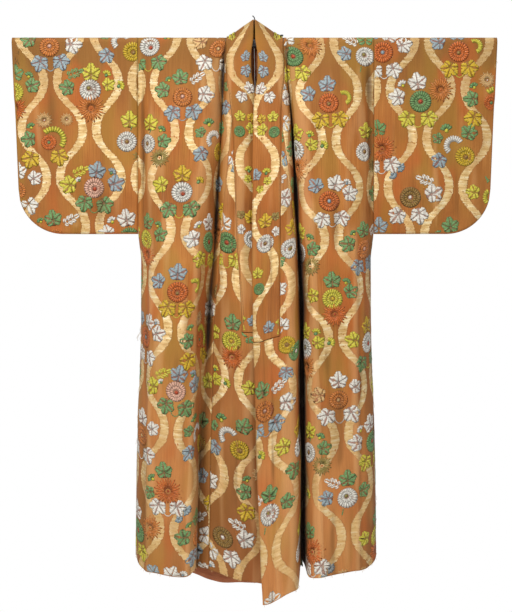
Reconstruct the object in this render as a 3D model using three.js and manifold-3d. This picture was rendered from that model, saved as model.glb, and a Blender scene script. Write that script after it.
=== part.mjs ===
// A noh robe of gold-figured brocade hung on a rod: two body panels that fold over the rod, two
// overlap panels, one neckband, two round-cornered sleeves, and the black rod and neck prop that
// hold them. Millimetres, +Z up. The origin is on the rod's axis at its middle. The viewer stands
// on the -Y side, so +X is the wearer's left. The wearer's left front lies over the right one.
import * as THREE from "three";
import { mergeVertices } from "three/addons/utils/BufferGeometryUtils.js";
import Module from "manifold-3d";

const wasm = await Module();
wasm.setup();

// ---- driving dimensions -------------------------------------------------------------------
const clothThick = 2; // brocade with its lining
const seamGap = 0.3; // between neighbouring pieces
const panelWidth = 341; // one loom width across the back, seam to seam
const bodyLength = 1590; // shoulder fold to hem
const overlapWidth = 180; // overlap panel, below the neckband
const overlapTipDrop = 250; // shoulder fold to the overlap panel's pointed top
const bandWidth = 84; // neckband, seam to free edge
const bandThick = 2.6; // the neckband is folded double
const bandDrop = 870; // shoulder fold to the neckband's lower end
const neckHalf = 84; // half the neck opening
const backNeckDrop = 20; // how far the back neckline dips behind the shoulder fold
const sleeveDepth = 552; // rod axis to the sleeve's lower edge
const sleeveCorner = 130; // radius of the rounded outer corner
const sleeveTaper = 18; // how much the outer edge draws in towards the corner
const cuffDrop = 171; // rod axis to the lower end of the wrist opening
const cuffX = 702; // rod's middle to each wrist edge
const rodRadius = 14;
const rodHalf = 680;
const rodPlay = 0.9; // between the rod and the cloth over it
const propRadius = 2;
const tipRadius = 1.6; // the prop's tip is pared down

const neckX = 4; // the robe hangs this far off the rod's middle
const neckMiddle = -1; // but its neck is pinned here
const foldRadius = rodRadius + rodPlay + clothThick / 2; // mid-surface of the cloth over the rod
const foldArc = (foldRadius * Math.PI) / 2; // shoulder fold to the front of the rod
const armholeX = { 1: neckX + panelWidth, [-1]: neckX - panelWidth };
const hangLength = bodyLength - foldArc;

// ---- the folds ----------------------------------------------------------------------------
// One row for each fold line of a front, from its leading edge to its side seam. x is the place
// across the robe and depth is the distance in front of the rod's axis, at each of the levels.
const levels = [0, 120, 250, 600, 870, bodyLength]; // distance below the shoulder fold

const leftFront = [
  { fold: "leading edge", x: [1, 2, -4, -6, -4, 22], depth: [17, 25, 31, 46, 62, 118] },
  { fold: "edge ridge", x: [24, 26, 20, 22, 25, 45], depth: [17, 27, 36, 58, 80, 140] },
  { fold: "ridge crown", x: [56, 59, 62, 70, 80, 90], depth: [17, 28, 40, 64, 92, 146] },
  { fold: "ridge shoulder", x: [78, 80, 90, 104, 116, 118], depth: [16, 27, 38, 62, 86, 130] },
  { fold: "cleft wall", x: [86, 88, 101, 117, 128, 127], depth: [16, 21, 30, 46, 62, 95] },
  { fold: "cleft floor in", x: [89, 92, 104, 120, 131, 131], depth: [16, 16, 17, 20, 30, 60] },
  { fold: "cleft floor", x: [92, 95, 107, 125, 136, 138], depth: [16, 14, 12, 10, 18, 45] },
  { fold: "cleft floor out", x: [95, 98, 110, 130, 141, 146], depth: [16, 16, 17, 22, 32, 62] },
  { fold: "lobe wall", x: [99, 102, 114, 134, 147, 152], depth: [16, 21, 29, 44, 58, 88] },
  { fold: "lobe corner", x: [107, 111, 124, 146, 160, 168], depth: [16, 26, 38, 62, 80, 112] },
  { fold: "lobe crest", x: [122, 126, 140, 162, 178, 190], depth: [16, 28, 42, 68, 90, 122] },
  { fold: "lobe face", x: [190, 192, 200, 215, 225, 235], depth: [16, 28, 42, 66, 86, 112] },
  { fold: "lobe side", x: [262, 264, 268, 275, 280, 285], depth: [16, 26, 38, 60, 80, 104] },
  { fold: "side turn", x: [306, 308, 312, 318, 320, 325], depth: [16, 22, 30, 42, 62, 82] },
  { fold: "side", x: [326, 328, 331, 337, 343, 350], depth: [16, 17, 18, 16, 30, 42] },
  { fold: "side seam", x: [345, 345, 345, 345, 346, 352], depth: [0, 0, 0, 0, 0, 0] },
];
const rightFront = [
  { fold: "leading edge", x: [-3, -2, 14, 30, 44, 46], depth: [17, 21, 19, 22, 28, 38] },
  { fold: "edge flat", x: [-22, -24, -8, 5, 14, 18], depth: [17, 25, 25, 30, 40, 46] },
  { fold: "centre swell", x: [-46, -50, -40, -32, -26, -22], depth: [17, 27, 32, 38, 48, 48] },
  { fold: "centre face", x: [-68, -70, -66, -64, -62, -70], depth: [16, 26, 34, 36, 44, 42] },
  { fold: "valley lip", x: [-77, -81, -82, -90, -95, -118], depth: [16, 20, 27, 26, 30, 32] },
  { fold: "valley in", x: [-82, -87, -91, -106, -120, -150], depth: [16, 14, 15, 10, 12, 22] },
  { fold: "valley floor", x: [-86, -91, -95, -114, -134, -167], depth: [16, 12, 9, 4, 4, 14] },
  { fold: "valley out", x: [-90, -95, -99, -121, -145, -175], depth: [16, 14, 14, 12, 14, 25] },
  { fold: "lobe wall", x: [-95, -100, -104, -127, -153, -167], depth: [16, 22, 26, 32, 38, 48] },
  { fold: "lobe corner", x: [-105, -110, -115, -142, -168, -170], depth: [16, 27, 38, 54, 66, 78] },
  { fold: "lobe crest", x: [-122, -127, -135, -168, -190, -188], depth: [16, 29, 45, 66, 84, 101] },
  { fold: "lobe face", x: [-190, -192, -196, -218, -232, -230], depth: [16, 29, 46, 68, 88, 108] },
  { fold: "lobe side", x: [-256, -257, -262, -268, -275, -277], depth: [16, 27, 40, 60, 78, 98] },
  { fold: "side turn", x: [-298, -300, -304, -308, -310, -316], depth: [16, 22, 30, 42, 58, 74] },
  { fold: "side", x: [-318, -320, -323, -329, -334, -341], depth: [16, 17, 18, 16, 28, 38] },
  { fold: "side seam", x: [-337, -337, -337, -337, -337, -344], depth: [0, 0, 0, 0, 0, 0] },
];
// How low the hem hangs below the rod's axis, across each front from its leading edge.
const hemDrop = {
  1: [
    { across: 0, drop: 1606 },
    { across: 110, drop: 1562 },
    { across: 180, drop: 1490 },
    { across: 245, drop: 1532 },
    { across: 400, drop: 1512 },
    { across: 521, drop: 1478 },
  ],
  [-1]: [
    { across: 0, drop: 1562 },
    { across: 70, drop: 1552 },
    { across: 205, drop: 1518 },
    { across: 255, drop: 1508 },
    { across: 320, drop: 1532 },
    { across: 420, drop: 1520 },
    { across: 521, drop: 1480 },
  ],
};
// The back hangs in shallow waves. share is the place from the centre seam to the side seam.
const backFolds = [
  { fold: "centre seam", share: [0, 0, 0, 0, 0, 0], depth: [16, 16, 18, 24, 28, 32] },
  { fold: "centre wave", share: [0.1, 0.1, 0.1, 0.11, 0.12, 0.12], depth: [16, 17, 20, 30, 38, 50] },
  { fold: "first hollow", share: [0.28, 0.28, 0.28, 0.3, 0.31, 0.32], depth: [16, 16, 16, 18, 20, 22] },
  { fold: "middle wave", share: [0.48, 0.48, 0.48, 0.5, 0.51, 0.52], depth: [16, 16, 19, 28, 37, 48] },
  { fold: "second hollow", share: [0.68, 0.68, 0.68, 0.7, 0.71, 0.72], depth: [16, 16, 16, 16, 20, 24] },
  { fold: "side wave", share: [0.85, 0.85, 0.86, 0.87, 0.9, 0.9], depth: [16, 16, 16, 20, 32, 44] },
  { fold: "side", share: [0.95, 0.95, 0.95, 0.98, 1, 1], depth: [16, 16, 15, 12, 18, 26] },
  { fold: "side seam", share: [1, 1, 1, 1, 1, 1], depth: [0, 0, 0, 0, 0, 0] },
];
const backHemDrop = { centre: 1570, side: 1484 };
const backHemRise = { 1: [0, 0.55], [-1]: [0.2, 1] }; // shares of the width over which it rises

// ---- small helpers ------------------------------------------------------------------------
const lerp = THREE.MathUtils.lerp;
const clamp = THREE.MathUtils.clamp;
const ease = (x, from, to) => THREE.MathUtils.smoothstep(x, from, to);

// A value that runs smoothly through the levels, at a distance down the cloth.
function atLevel(values, down) {
  const d = clamp(down, 0, bodyLength);
  let i = 0;
  while (i < levels.length - 2 && d > levels[i + 1]) i++;
  const slope = (k) => {
    const a = Math.max(k - 1, 0);
    const b = Math.min(k + 1, levels.length - 1);
    return (values[b] - values[a]) / (levels[b] - levels[a]);
  };
  const span = levels[i + 1] - levels[i];
  const t = (d - levels[i]) / span;
  const [t2, t3] = [t * t, t * t * t];
  return (
    (2 * t3 - 3 * t2 + 1) * values[i] +
    (t3 - 2 * t2 + t) * span * slope(i) +
    (3 * t2 - 2 * t3) * values[i + 1] +
    (t3 - t2) * span * slope(i + 1)
  );
}

// A table of { across, drop } read at a place across, with straight runs eased at the rows.
function dropAt(table, across) {
  let i = 0;
  while (i < table.length - 2 && across > table[i + 1].across) i++;
  const [a, b] = [table[i], table[i + 1]];
  return lerp(a.drop, b.drop, ease(across, a.across, b.across));
}

// The smooth line that a row of corner points pulls on: it starts and ends on the outer two,
// and touches the middle of every other side.
function pulledLine(corners, steps = 5) {
  const mid = (a, b) => a.clone().lerp(b, 0.5);
  const line = [corners[0].clone()];
  for (let i = 1; i < corners.length - 1; i++) {
    const start = i === 1 ? corners[0] : mid(corners[i - 1], corners[i]);
    const end = i === corners.length - 2 ? corners[i + 1] : mid(corners[i], corners[i + 1]);
    const bend = new THREE.QuadraticBezierCurve(start, corners[i], end);
    for (let k = 1; k <= steps; k++) line.push(bend.getPoint(k / steps));
  }
  return line;
}

function lengthOf(line) {
  return line.slice(1).reduce((sum, p, i) => sum + p.distanceTo(line[i]), 0);
}

// The point at a share of a line's length.
function along(line, share) {
  let left = clamp(share, 0, 1) * lengthOf(line);
  for (let i = 1; i < line.length; i++) {
    const step = line[i].distanceTo(line[i - 1]);
    if (left <= step || i === line.length - 1)
      return line[i - 1].clone().lerp(line[i], step ? Math.min(left / step, 1) : 0);
    left -= step;
  }
  return line.at(-1).clone();
}

// ---- how the cloth hangs ------------------------------------------------------------------
// Half the gap between the two layers of a sleeve, and of the body at its armhole.
const sewnHalf = 1.6; // at the sleeve's sewn edges
const seamHalf = 0.3; // in the side seam
const seamCloses = 260; // below the sleeve
function halfGap(z, bottom = -sleeveDepth) {
  if (z >= 0) return Math.sqrt(Math.max(foldRadius ** 2 - z ** 2, 0));
  return lerp(foldRadius, sewnHalf, clamp(z / bottom, 0, 1) ** 2);
}

// Where the side seam lies, front (-1) or back (1): the armhole's edge down to the sleeve's
// foot, and below it the closed seam.
const seamSet = 6; // the seam is this far behind the rod's axis at the hem
function sideSeamY(z, layer) {
  const below = clamp((-z - sleeveDepth) / (hangLength - sleeveDepth), 0, 1);
  if (z > -sleeveDepth) return seamSet * below + layer * halfGap(z);
  const apart = lerp(sewnHalf, seamHalf, ease(-z, sleeveDepth, sleeveDepth + seamCloses));
  return seamSet * below + layer * apart;
}

// The place of the side seam across the robe. It draws in just below the sleeve: from and full
// are the drops between which it does so, and leaves and gone those between which it eases out.
const tuck = { depth: 9, from: 602, full: 690, leaves: 870, gone: 1350 };
function seamX(side, down) {
  const rows = side > 0 ? leftFront : rightFront;
  const share = ease(down, tuck.from, tuck.full) * (1 - ease(down, tuck.leaves, tuck.gone));
  return atLevel(rows.at(-1).x, down) - side * tuck.depth * share;
}

// Cloth width of a front at a distance down, from leading edge to side seam, and the seam
// between the neckband or overlap panel and the body panel.
function bodySeamAt(down) {
  return down < overlapTipDrop
    ? bandWidth
    : lerp(bandWidth, overlapWidth, clamp((down - overlapTipDrop) / (bandDrop - overlapTipDrop), 0, 1));
}
function frontWidth(down) {
  const cutAway = neckHalf * (1 - clamp(down / overlapTipDrop, 0, 1));
  return bodySeamAt(down) + panelWidth - cutAway;
}

// The leading edges part a little below the chin, and meet again above the chest.
const slit = { half: 6.5, from: 35, full: 75, leaves: 125, gone: 180 };
const slitHalf = (down) =>
  slit.half * ease(down, slit.from, slit.full) * (1 - ease(down, slit.leaves, slit.gone));

// The level line of a front at a distance down: the folds' depths are scaled until the line is
// as long as the cloth is wide.
const depthScales = [0.6, 1.6]; // searched between these
const searchSteps = 18;
const frontLines = new Map();
function frontLine(side, down) {
  const key = side * (down + 1);
  if (frontLines.has(key)) return frontLines.get(key);
  const rows = side > 0 ? leftFront : rightFront;
  const seamZ = -Math.max(down - foldArc, 0) * (hemDrop[side].at(-1).drop / hangLength);
  const make = (scale) =>
    pulledLine(
      rows.map(({ x, depth }, i) => {
        if (i === rows.length - 1) return new THREE.Vector2(seamX(side, down), sideSeamY(seamZ, -1));
        const drawnIn = i >= rows.length - 3 ? seamX(side, down) - atLevel(rows.at(-1).x, down) : 0;
        const across = atLevel(x, down) + drawnIn + (i === 0 ? side * slitHalf(down) : 0);
        const grown = foldRadius + (atLevel(depth, down) - foldRadius) * (i === rows.length - 2 ? 1 : scale);
        return new THREE.Vector2(across, -grown);
      }),
    );
  let [low, high] = depthScales;
  for (let i = 0; i < searchSteps; i++) {
    const middle = (low + high) / 2;
    if (lengthOf(make(middle)) < frontWidth(down)) low = middle;
    else high = middle;
  }
  const line = make((low + high) / 2);
  frontLines.set(key, line);
  return line;
}

// A point of a front: across is the cloth distance from the leading edge, down the distance
// below the shoulder fold.
function frontPoint(side, across, down) {
  const width = frontWidth(down);
  const flat = along(frontLine(side, down), across / width);
  const turn = Math.min(down, foldArc) / foldRadius;
  if (down < foldArc) {
    const forward = (-flat.y - foldRadius) * ease(down, 0, foldArc * 2);
    return new THREE.Vector3(flat.x, -foldRadius * Math.sin(turn) - forward, foldRadius * Math.cos(turn));
  }
  const settle = ease(down, 0, foldArc * 2);
  const share = (across / width) * frontWidth(bodyLength);
  const z = -(down - foldArc) * (dropAt(hemDrop[side], share) / hangLength);
  const y = -lerp(foldRadius, -flat.y, down < foldArc * 2 ? settle : 1);
  return new THREE.Vector3(flat.x, y, z);
}

const backLines = new Map();
function backLine(side, down) {
  const key = side * (down + 1);
  if (backLines.has(key)) return backLines.get(key);
  const seamZ = -Math.max(down - foldArc, 0) * (backHemDrop.side / hangLength);
  const line = pulledLine(
    backFolds.map(({ share, depth }, i) => {
      const x = lerp(lerp(neckMiddle, neckX, ease(down, 0, 300)), seamX(side, down), atLevel(share, down));
      const y = i === backFolds.length - 1 ? sideSeamY(seamZ, 1) : atLevel(depth, down);
      return new THREE.Vector2(x, y);
    }),
  );
  backLines.set(key, line);
  return line;
}

// A point of the back: across is the cloth distance from the centre seam.
function backPoint(side, across, down) {
  const flat = along(backLine(side, down), across / panelWidth);
  const turn = Math.min(down, foldArc) / foldRadius;
  if (down < foldArc)
    return new THREE.Vector3(flat.x, foldRadius * Math.sin(turn), foldRadius * Math.cos(turn));
  const drop = lerp(backHemDrop.centre, backHemDrop.side, ease(across / panelWidth, ...backHemRise[side]));
  const y = lerp(foldRadius, flat.y, ease(down, foldArc, foldArc * 2));
  return new THREE.Vector3(flat.x, y, -(down - foldArc) * (drop / hangLength));
}

const backAt = (across, down) => backPoint(across < 0 ? -1 : 1, Math.abs(across), down);

// The back neckline, a shallow curve behind the shoulder fold.
const neckDip = (across) => backNeckDrop * (1 - clamp(across / neckHalf, 0, 1) ** 2);

// The neckband: station runs from the centre back, wearer's right below zero and left above,
// and up from its seam (0) to its free edge (1). Behind the neck it stands up to a peak, and in
// front it hangs down the leading edges.
const bandLift = 52; // how far the free edge stands above the seam at the shoulder
const bandLean = 8; // and how far in front of it
const bandFlat = 0.25; // the share of its width that lies on the shoulder before it rises
const bandBow = 1.3; // the power that the rise grows with
const liftFades = 60; // drops over which the lift and the lean fade
const leanFades = 12;
const belly = { up: 5, back: 5 }; // how far the stretch behind the neck swells
const neckEase = { inset: 2.5, fades: 30 }; // extra room beside the neck seam
const neckCorner = 30; // the power that turns the back neck seam into the front one
const peak = new THREE.Vector3(neckMiddle, 5.5, foldRadius + bandLift);
function bandFront(side, down, up, inset) {
  const p = frontPoint(side, (bandWidth - inset) * (1 - up), down);
  p.z += bandLift * clamp((up - bandFlat) / (1 - bandFlat), 0, 1) ** bandBow * Math.exp(-down / liftFades);
  p.y -= bandLean * up * Math.exp(-down / leanFades);
  return p;
}
function bandPoint(station, up) {
  const side = station < 0 ? -1 : 1;
  const reach = Math.abs(station);
  const eased = 1 - ease(reach, neckHalf, neckHalf + neckEase.fades);
  const inset = seamGap + 0.1 + neckEase.inset * eased;
  if (reach >= neckHalf) return bandFront(side, reach - neckHalf, up, inset);
  const share = reach / neckHalf;
  const seam = backPoint(side, reach, neckDip(reach)).lerp(bandFront(side, 0, 0, 0), share ** neckCorner);
  const free = peak.clone().lerp(bandFront(side, 0, 1, 0), share);
  const p = seam.clone().lerp(free, lerp(inset / seam.distanceTo(free), 1, up));
  p.z += belly.up * share * (1 - share ** 4) * Math.sin(Math.PI * up);
  p.y += belly.back * Math.sin(Math.PI * up) * (1 - share ** 2);
  return p;
}

// ---- turning sheets into walls ------------------------------------------------------------
// A closed wall on a surface(a, b), through rows of [a, b] spots. It reaches from one distance
// to the other along the surface's normal, and leaves out the cells that skip(i, j) names.
const belowSleeve = 30; // the armhole's edges stay square this far past the sleeve
const atArmhole = ({ x }) => [1, -1].some((side) => Math.abs(x - armholeX[side]) < 0.5);
function wall(surface, spots, from, to, skip = () => false) {
  const normalAt = (a, b, p, [da, db]) => {
    const acrossWay = surface(a + da, b).sub(surface(a - da, b));
    const downWay = surface(a, b + db).sub(surface(a, b - db));
    const normal = acrossWay.cross(downWay);
    if (atArmhole(p) && p.z > -sleeveDepth - belowSleeve) normal.x = 0; // square to the sleeve
    return normal.normalize();
  };
  const columns = spots[0].length;
  const rows = spots.length;
  const middle = spots.flat().map(([a, b]) => surface(a, b));
  const normals = spots.flat().map(([a, b], i) => normalAt(a, b, middle[i], surface.step));
  const positions = [to, from].flatMap((lift) =>
    middle.flatMap((p, i) => p.clone().addScaledVector(normals[i], lift).toArray()),
  );
  const far = middle.length;
  const id = (i, j) => j * columns + i;
  const faces = [];
  const quad = (a, b, c, d) => faces.push(a, b, c, a, c, d);
  const rim = (a, b) => quad(b, a, far + a, far + b);
  const open = (i, j) => i < 0 || j < 0 || i > columns - 2 || j > rows - 2 || skip(i, j);
  for (let j = 0; j < rows - 1; j++)
    for (let i = 0; i < columns - 1; i++) {
      if (open(i, j)) continue;
      const [a, b, c, d] = [id(i, j), id(i + 1, j), id(i + 1, j + 1), id(i, j + 1)];
      quad(a, b, c, d);
      quad(far + a, far + d, far + c, far + b);
      if (open(i, j - 1)) rim(a, b);
      if (open(i + 1, j)) rim(b, c);
      if (open(i, j + 1)) rim(c, d);
      if (open(i - 1, j)) rim(d, a);
    }
  return closed(positions, faces);
}
const stepping = (surface, step) => Object.assign(surface, { step });

// A geometry from the points that its faces use, turned so that they face outwards.
function closed(positions, faces) {
  const at = (i) => new THREE.Vector3().fromArray(positions, 3 * i);
  let volume = 0;
  for (let i = 0; i < faces.length; i += 3)
    volume += at(faces[i]).dot(at(faces[i + 1]).cross(at(faces[i + 2])));
  if (volume < 0) faces.reverse();
  const used = [...new Set(faces)];
  const place = new Map(used.map((old, i) => [old, i]));
  const geometry = new THREE.BufferGeometry();
  const kept = used.flatMap((i) => positions.slice(3 * i, 3 * i + 3));
  geometry.setAttribute("position", new THREE.Float32BufferAttribute(kept, 3));
  geometry.setIndex(faces.map((i) => place.get(i)));
  return geometry;
}

function solidOf(geometry) {
  const bare = geometry.clone();
  bare.deleteAttribute("normal");
  bare.deleteAttribute("uv");
  const merged = mergeVertices(bare, 1e-4);
  return new wasm.Manifold(
    new wasm.Mesh({
      numProp: 3,
      vertProperties: new Float32Array(merged.getAttribute("position").array),
      triVerts: new Uint32Array(merged.index.array),
    }),
  );
}

function geometryOf(solid) {
  const mesh = solid.getMesh();
  const geometry = new THREE.BufferGeometry();
  geometry.setAttribute("position", new THREE.BufferAttribute(mesh.vertProperties, 3));
  geometry.setIndex(new THREE.BufferAttribute(mesh.triVerts, 1));
  return geometry;
}

// ---- the pieces ---------------------------------------------------------------------------
// Neighbouring pieces share these rows down the cloth, so their seams run side by side. They lie
// closer together round the rod and where the folds change.
const bandEnd = bandDrop - seamGap - 1; // the neckband's last row
const rowsDown = [
  ...[seamGap / 2, 6, 12, 18, foldArc, 36, 52, 80, 110, 135, 170, 215, overlapTipDrop + 6],
  ...[330, 420, 510, 600, 690, 780, bandEnd, bandDrop - seamGap, bandDrop + seamGap],
  ...[980, 1100, 1220, 1340, 1460, bodyLength],
];
const backRows = [
  ...[seamGap / 2, 6, 12, 18, foldArc, 52, 110, 215, 330, 460],
  ...[600, 780, 980, 1160, 1340, bodyLength],
];
const neckStations = [0, 22, 43, 61, 75, neckHalf]; // along the back neckline from its middle
const bodyReach = [8, 4]; // how far apart points are taken for a surface's normal
const backReach = [6, 4];
const bandReach = [0.095, 3];
const shares = (count) => Array.from({ length: count + 1 }, (_, i) => i / count);
const clothWall = (surface, spots, skip) => wall(surface, spots, -clothThick / 2, clothThick / 2, skip);

function frontPanel(side) {
  const surface = stepping((across, down) => frontPoint(side, across, down), bodyReach);
  const spots = rowsDown
    .filter((down) => down !== bandEnd && down !== bandDrop + seamGap)
    .map((down) => shares(18).map((t) => [lerp(bodySeamAt(down) + seamGap / 2, frontWidth(down), t), down]));
  return clothWall(surface, spots);
}

// Above the neckband's end it starts beside the band, and below that at the leading edge.
function overlapPanel(side) {
  const surface = stepping((across, down) => frontPoint(side, across, down), bodyReach);
  const downs = rowsDown.filter((down) => down > overlapTipDrop && down !== bandEnd);
  const bandColumns = 6;
  const spots = downs.map((down) => [
    ...shares(bandColumns).slice(0, -1).map((t) => [t * bandWidth, down]),
    ...shares(6).map((t) => [lerp(bandWidth, bodySeamAt(down), t) + seamGap * (0.5 - t), down]),
  ]);
  const besideBand = (i, j) => i < bandColumns && downs[j] < bandDrop;
  return clothWall(surface, spots, besideBand);
}

const backColumns = [
  ...neckStations.map((across) => Math.max(across, seamGap / 2)),
  ...shares(9).slice(1).map((t) => lerp(neckHalf, panelWidth, t)),
];
function backPanel(side) {
  const surface = stepping(backAt, backReach);
  const columns = side > 0 ? backColumns : backColumns.map((across) => -across).reverse();
  const dipAt = (across, down) => neckDip(Math.abs(across)) * (1 - clamp(down / overlapTipDrop, 0, 1));
  const spots = backRows.map((down) => columns.map((across) => [across, down + dipAt(across, down)]));
  return clothWall(surface, spots);
}

function neckband() {
  const surface = stepping((up, station) => bandPoint(station, up), bandReach);
  const inFront = rowsDown.filter((down) => down <= bandEnd);
  const half = [...neckStations.slice(1, -1), ...inFront.map((down) => neckHalf + down)];
  const stations = [...half.map((s) => -s).reverse(), 0, ...half];
  const spots = stations.map((station) => shares(6).map((up) => [up, station]));
  return wall(surface, spots, -bandThick / 2, bandThick / 2);
}

// The strip of lining that shows inside the back's hem, lying on the back panels.
const facingThick = 1;
const facingShort = 3; // its lower edge stays this far above the hem
function hemFacing() {
  const half = backColumns.slice(1, -1);
  const columns = [...half.map((across) => -across).reverse(), 0, ...half];
  const rows = backRows.slice(-2);
  rows[1] -= facingShort;
  const near = -clothThick / 2 - seamGap;
  const spots = rows.map((down) => columns.map((across) => [across, down]));
  return wall(stepping(backAt, backReach), spots, near - facingThick, near);
}

// A sleeve is one width folded over the rod, sewn below and up the outer edge to the wrist
// opening, so it is a flat pocket that is open at the armhole and at the wrist.
const sway = { depth: 5, turns: 7, from: 30, full: 300 }; // slow waves across the hanging part
const swayEnd = 1 / 1.4; // the share of the sleeve where they die out
const wristEase = { drop: 15, share: 0.82 }; // how soon the two layers come together at the wrist
const underlap = 4; // how far the hollow runs on past the armhole
const armholePlay = 0.2; // room for the body's edge, which isn't quite straight
const mouthSpare = 20; // how far the cutter for the wrist opening reaches past it
function sleeveRing(side, share, grow, start) {
  const end = cuffX + grow;
  const cornerX = cuffX - sleeveTaper - sleeveCorner;
  const cornerZ = sleeveCorner - sleeveDepth;
  const radius = sleeveCorner + grow;
  const run = clamp(lerp(start, end - sleeveTaper, share) - cornerX, 0, radius);
  const bottom = cornerZ - Math.sqrt(radius ** 2 - run ** 2);
  const rows = 7;
  const arcs = 6;
  const front = [];
  const back = [];
  for (let k = 0; k <= rows; k++) {
    const z = lerp(bottom, 0, k / rows);
    const x = side * lerp(start, end - sleeveTaper * clamp(z / cornerZ, 0, 1), share);
    const wrist =
      ease(-z, cuffDrop - wristEase.drop, cuffDrop + wristEase.drop) * ease(share, wristEase.share, 1);
    const half = grow + lerp(halfGap(z, bottom), sewnHalf, wrist);
    const wave = Math.sin(share * sway.turns + side) * Math.sin(Math.PI * Math.min(share / swayEnd, 1));
    const lean = sway.depth * wave * ease(-z, sway.from, sway.full);
    front.push(new THREE.Vector3(x, lean - half, z));
    back.unshift(new THREE.Vector3(x, lean + half, z));
  }
  const over = [];
  for (let k = 1; k < arcs; k++) {
    const turn = (Math.PI * k) / arcs;
    const r = foldRadius + grow;
    over.push(new THREE.Vector3(side * lerp(start, end, share), -r * Math.cos(turn), r * Math.sin(turn)));
  }
  return [...front, ...over, ...back];
}

// A closed body through narrow rings of equal count. Its ends are closed by rungs from side to side.
function throughRings(rings) {
  const count = rings[0].length;
  const positions = rings.flat().flatMap((p) => p.toArray());
  const faces = [];
  for (let r = 0; r < rings.length - 1; r++)
    for (let k = 0; k < count; k++) {
      const [a, b] = [r * count + k, r * count + ((k + 1) % count)];
      faces.push(a, b, b + count, a, b + count, a + count);
    }
  const last = (rings.length - 1) * count;
  for (let k = 0; k < count / 2 - 1; k++) {
    const [a, b, c, d] = [k, k + 1, count - 2 - k, count - 1 - k];
    if (b < c) faces.push(a, c, b);
    faces.push(a, d, c);
    if (b < c) faces.push(last + a, last + b, last + c);
    faces.push(last + a, last + c, last + d);
  }
  return closed(positions, faces);
}

function sleeve(side) {
  const stations = [0, 0.12, 0.24, 0.36, 0.48, 0.6, 0.68, 0.76, 0.83, 0.89, 0.94, 0.98, 1];
  const half = clothThick / 2;
  const start = Math.abs(armholeX[side]) + seamGap + armholePlay;
  const outer = throughRings(stations.map((s) => sleeveRing(side, s, half, start)));
  const inner = throughRings(stations.map((s) => sleeveRing(side, s, -half, start - underlap * (1 - s))));
  // The wrist opening is the hollow carried on through the outer edge, above the sewn part.
  const mouth = sleeveRing(side, 1, -half - 0.2, start).filter((p) => p.z > -cuffDrop - mouthSpare);
  const wrist = throughRings(
    [cuffX - sleeveTaper - 3 * half, cuffX + mouthSpare].map((x) =>
      mouth.map((p) => new THREE.Vector3(side * x, p.y, Math.max(p.z, -cuffDrop))),
    ),
  );
  return geometryOf(solidOf(outer).subtract(solidOf(inner)).subtract(solidOf(wrist)));
}

// The rod runs through both sleeves. The prop is a bent batten that rests on the shoulders behind
// the neckband and holds up its peak. Its left foot, and the tip above the peak, stay in sight.
function rod() {
  return new THREE.CylinderGeometry(rodRadius, rodRadius, 2 * rodHalf, 24).rotateZ(Math.PI / 2);
}
function tube(path, radius, steps) {
  const round = new THREE.Shape().absarc(0, 0, radius, 0, 2 * Math.PI);
  const points = path.map(([x, y, z]) => new THREE.Vector3(x, y, z));
  const extrudePath = new THREE.CatmullRomCurve3(points, false, "centripetal");
  return new THREE.ExtrudeGeometry(round, { steps, bevelEnabled: false, extrudePath, curveSegments: 4 });
}
const propPath = [
  [-74, 13, 14.5],
  [-60, 16, 21],
  [-6, 16, 65],
  [0, 15, 69],
  [6, 16, 65],
  [54, 17, 22.5],
  [66, 13, 19.5],
  [80, 5, 19],
];
const tipPath = [
  [0, 15, 66],
  [0, 15, 76],
  [-2, 15, 80],
  [-6, 15, 83],
];
function neckProp() {
  return geometryOf(solidOf(tube(propPath, propRadius, 24)).add(solidOf(tube(tipPath, tipRadius, 5))));
}

// ---- materials and the robe ---------------------------------------------------------------
const brocade = new THREE.MeshStandardMaterial({ color: 0xb0683a, roughness: 0.62, metalness: 0.1 });
const brocadeBand = new THREE.MeshStandardMaterial({ color: 0xb47a3c, roughness: 0.6, metalness: 0.12 });
const lining = new THREE.MeshStandardMaterial({ color: 0x8e4426, roughness: 0.55, metalness: 0 });
const lacquer = new THREE.MeshStandardMaterial({ color: 0x14100f, roughness: 0.35, metalness: 0 });

const robe = new THREE.Group();
function add(name, geometry, material) {
  const mesh = new THREE.Mesh(geometry, material);
  mesh.name = name;
  robe.add(mesh);
}
for (const [side, wearer] of [
  [1, "left"],
  [-1, "right"],
]) {
  add(`front_${wearer}`, frontPanel(side), brocade);
  add(`overlap_${wearer}`, overlapPanel(side), brocade);
  add(`back_${wearer}`, backPanel(side), brocade);
  add(`sleeve_${wearer}`, sleeve(side), brocade);
}
add("neckband", neckband(), brocadeBand);
add("hem_facing", hemFacing(), lining);
add("rod", rod(), lacquer);
add("neck_prop", neckProp(), lacquer);

export default robe;
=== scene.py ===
"""The looks of a noh robe of gold-figured silk brocade that hangs on a black rod.

Every cloth piece is laid out flat at its cut size, in millimetres, and each of its points is then
carried to where the hanging cloth holds it. The same functions carry the brocade's raised silk
flowers, so they follow the folds. Lengths are in millimetres until a mesh is made.
"""
import math

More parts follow.
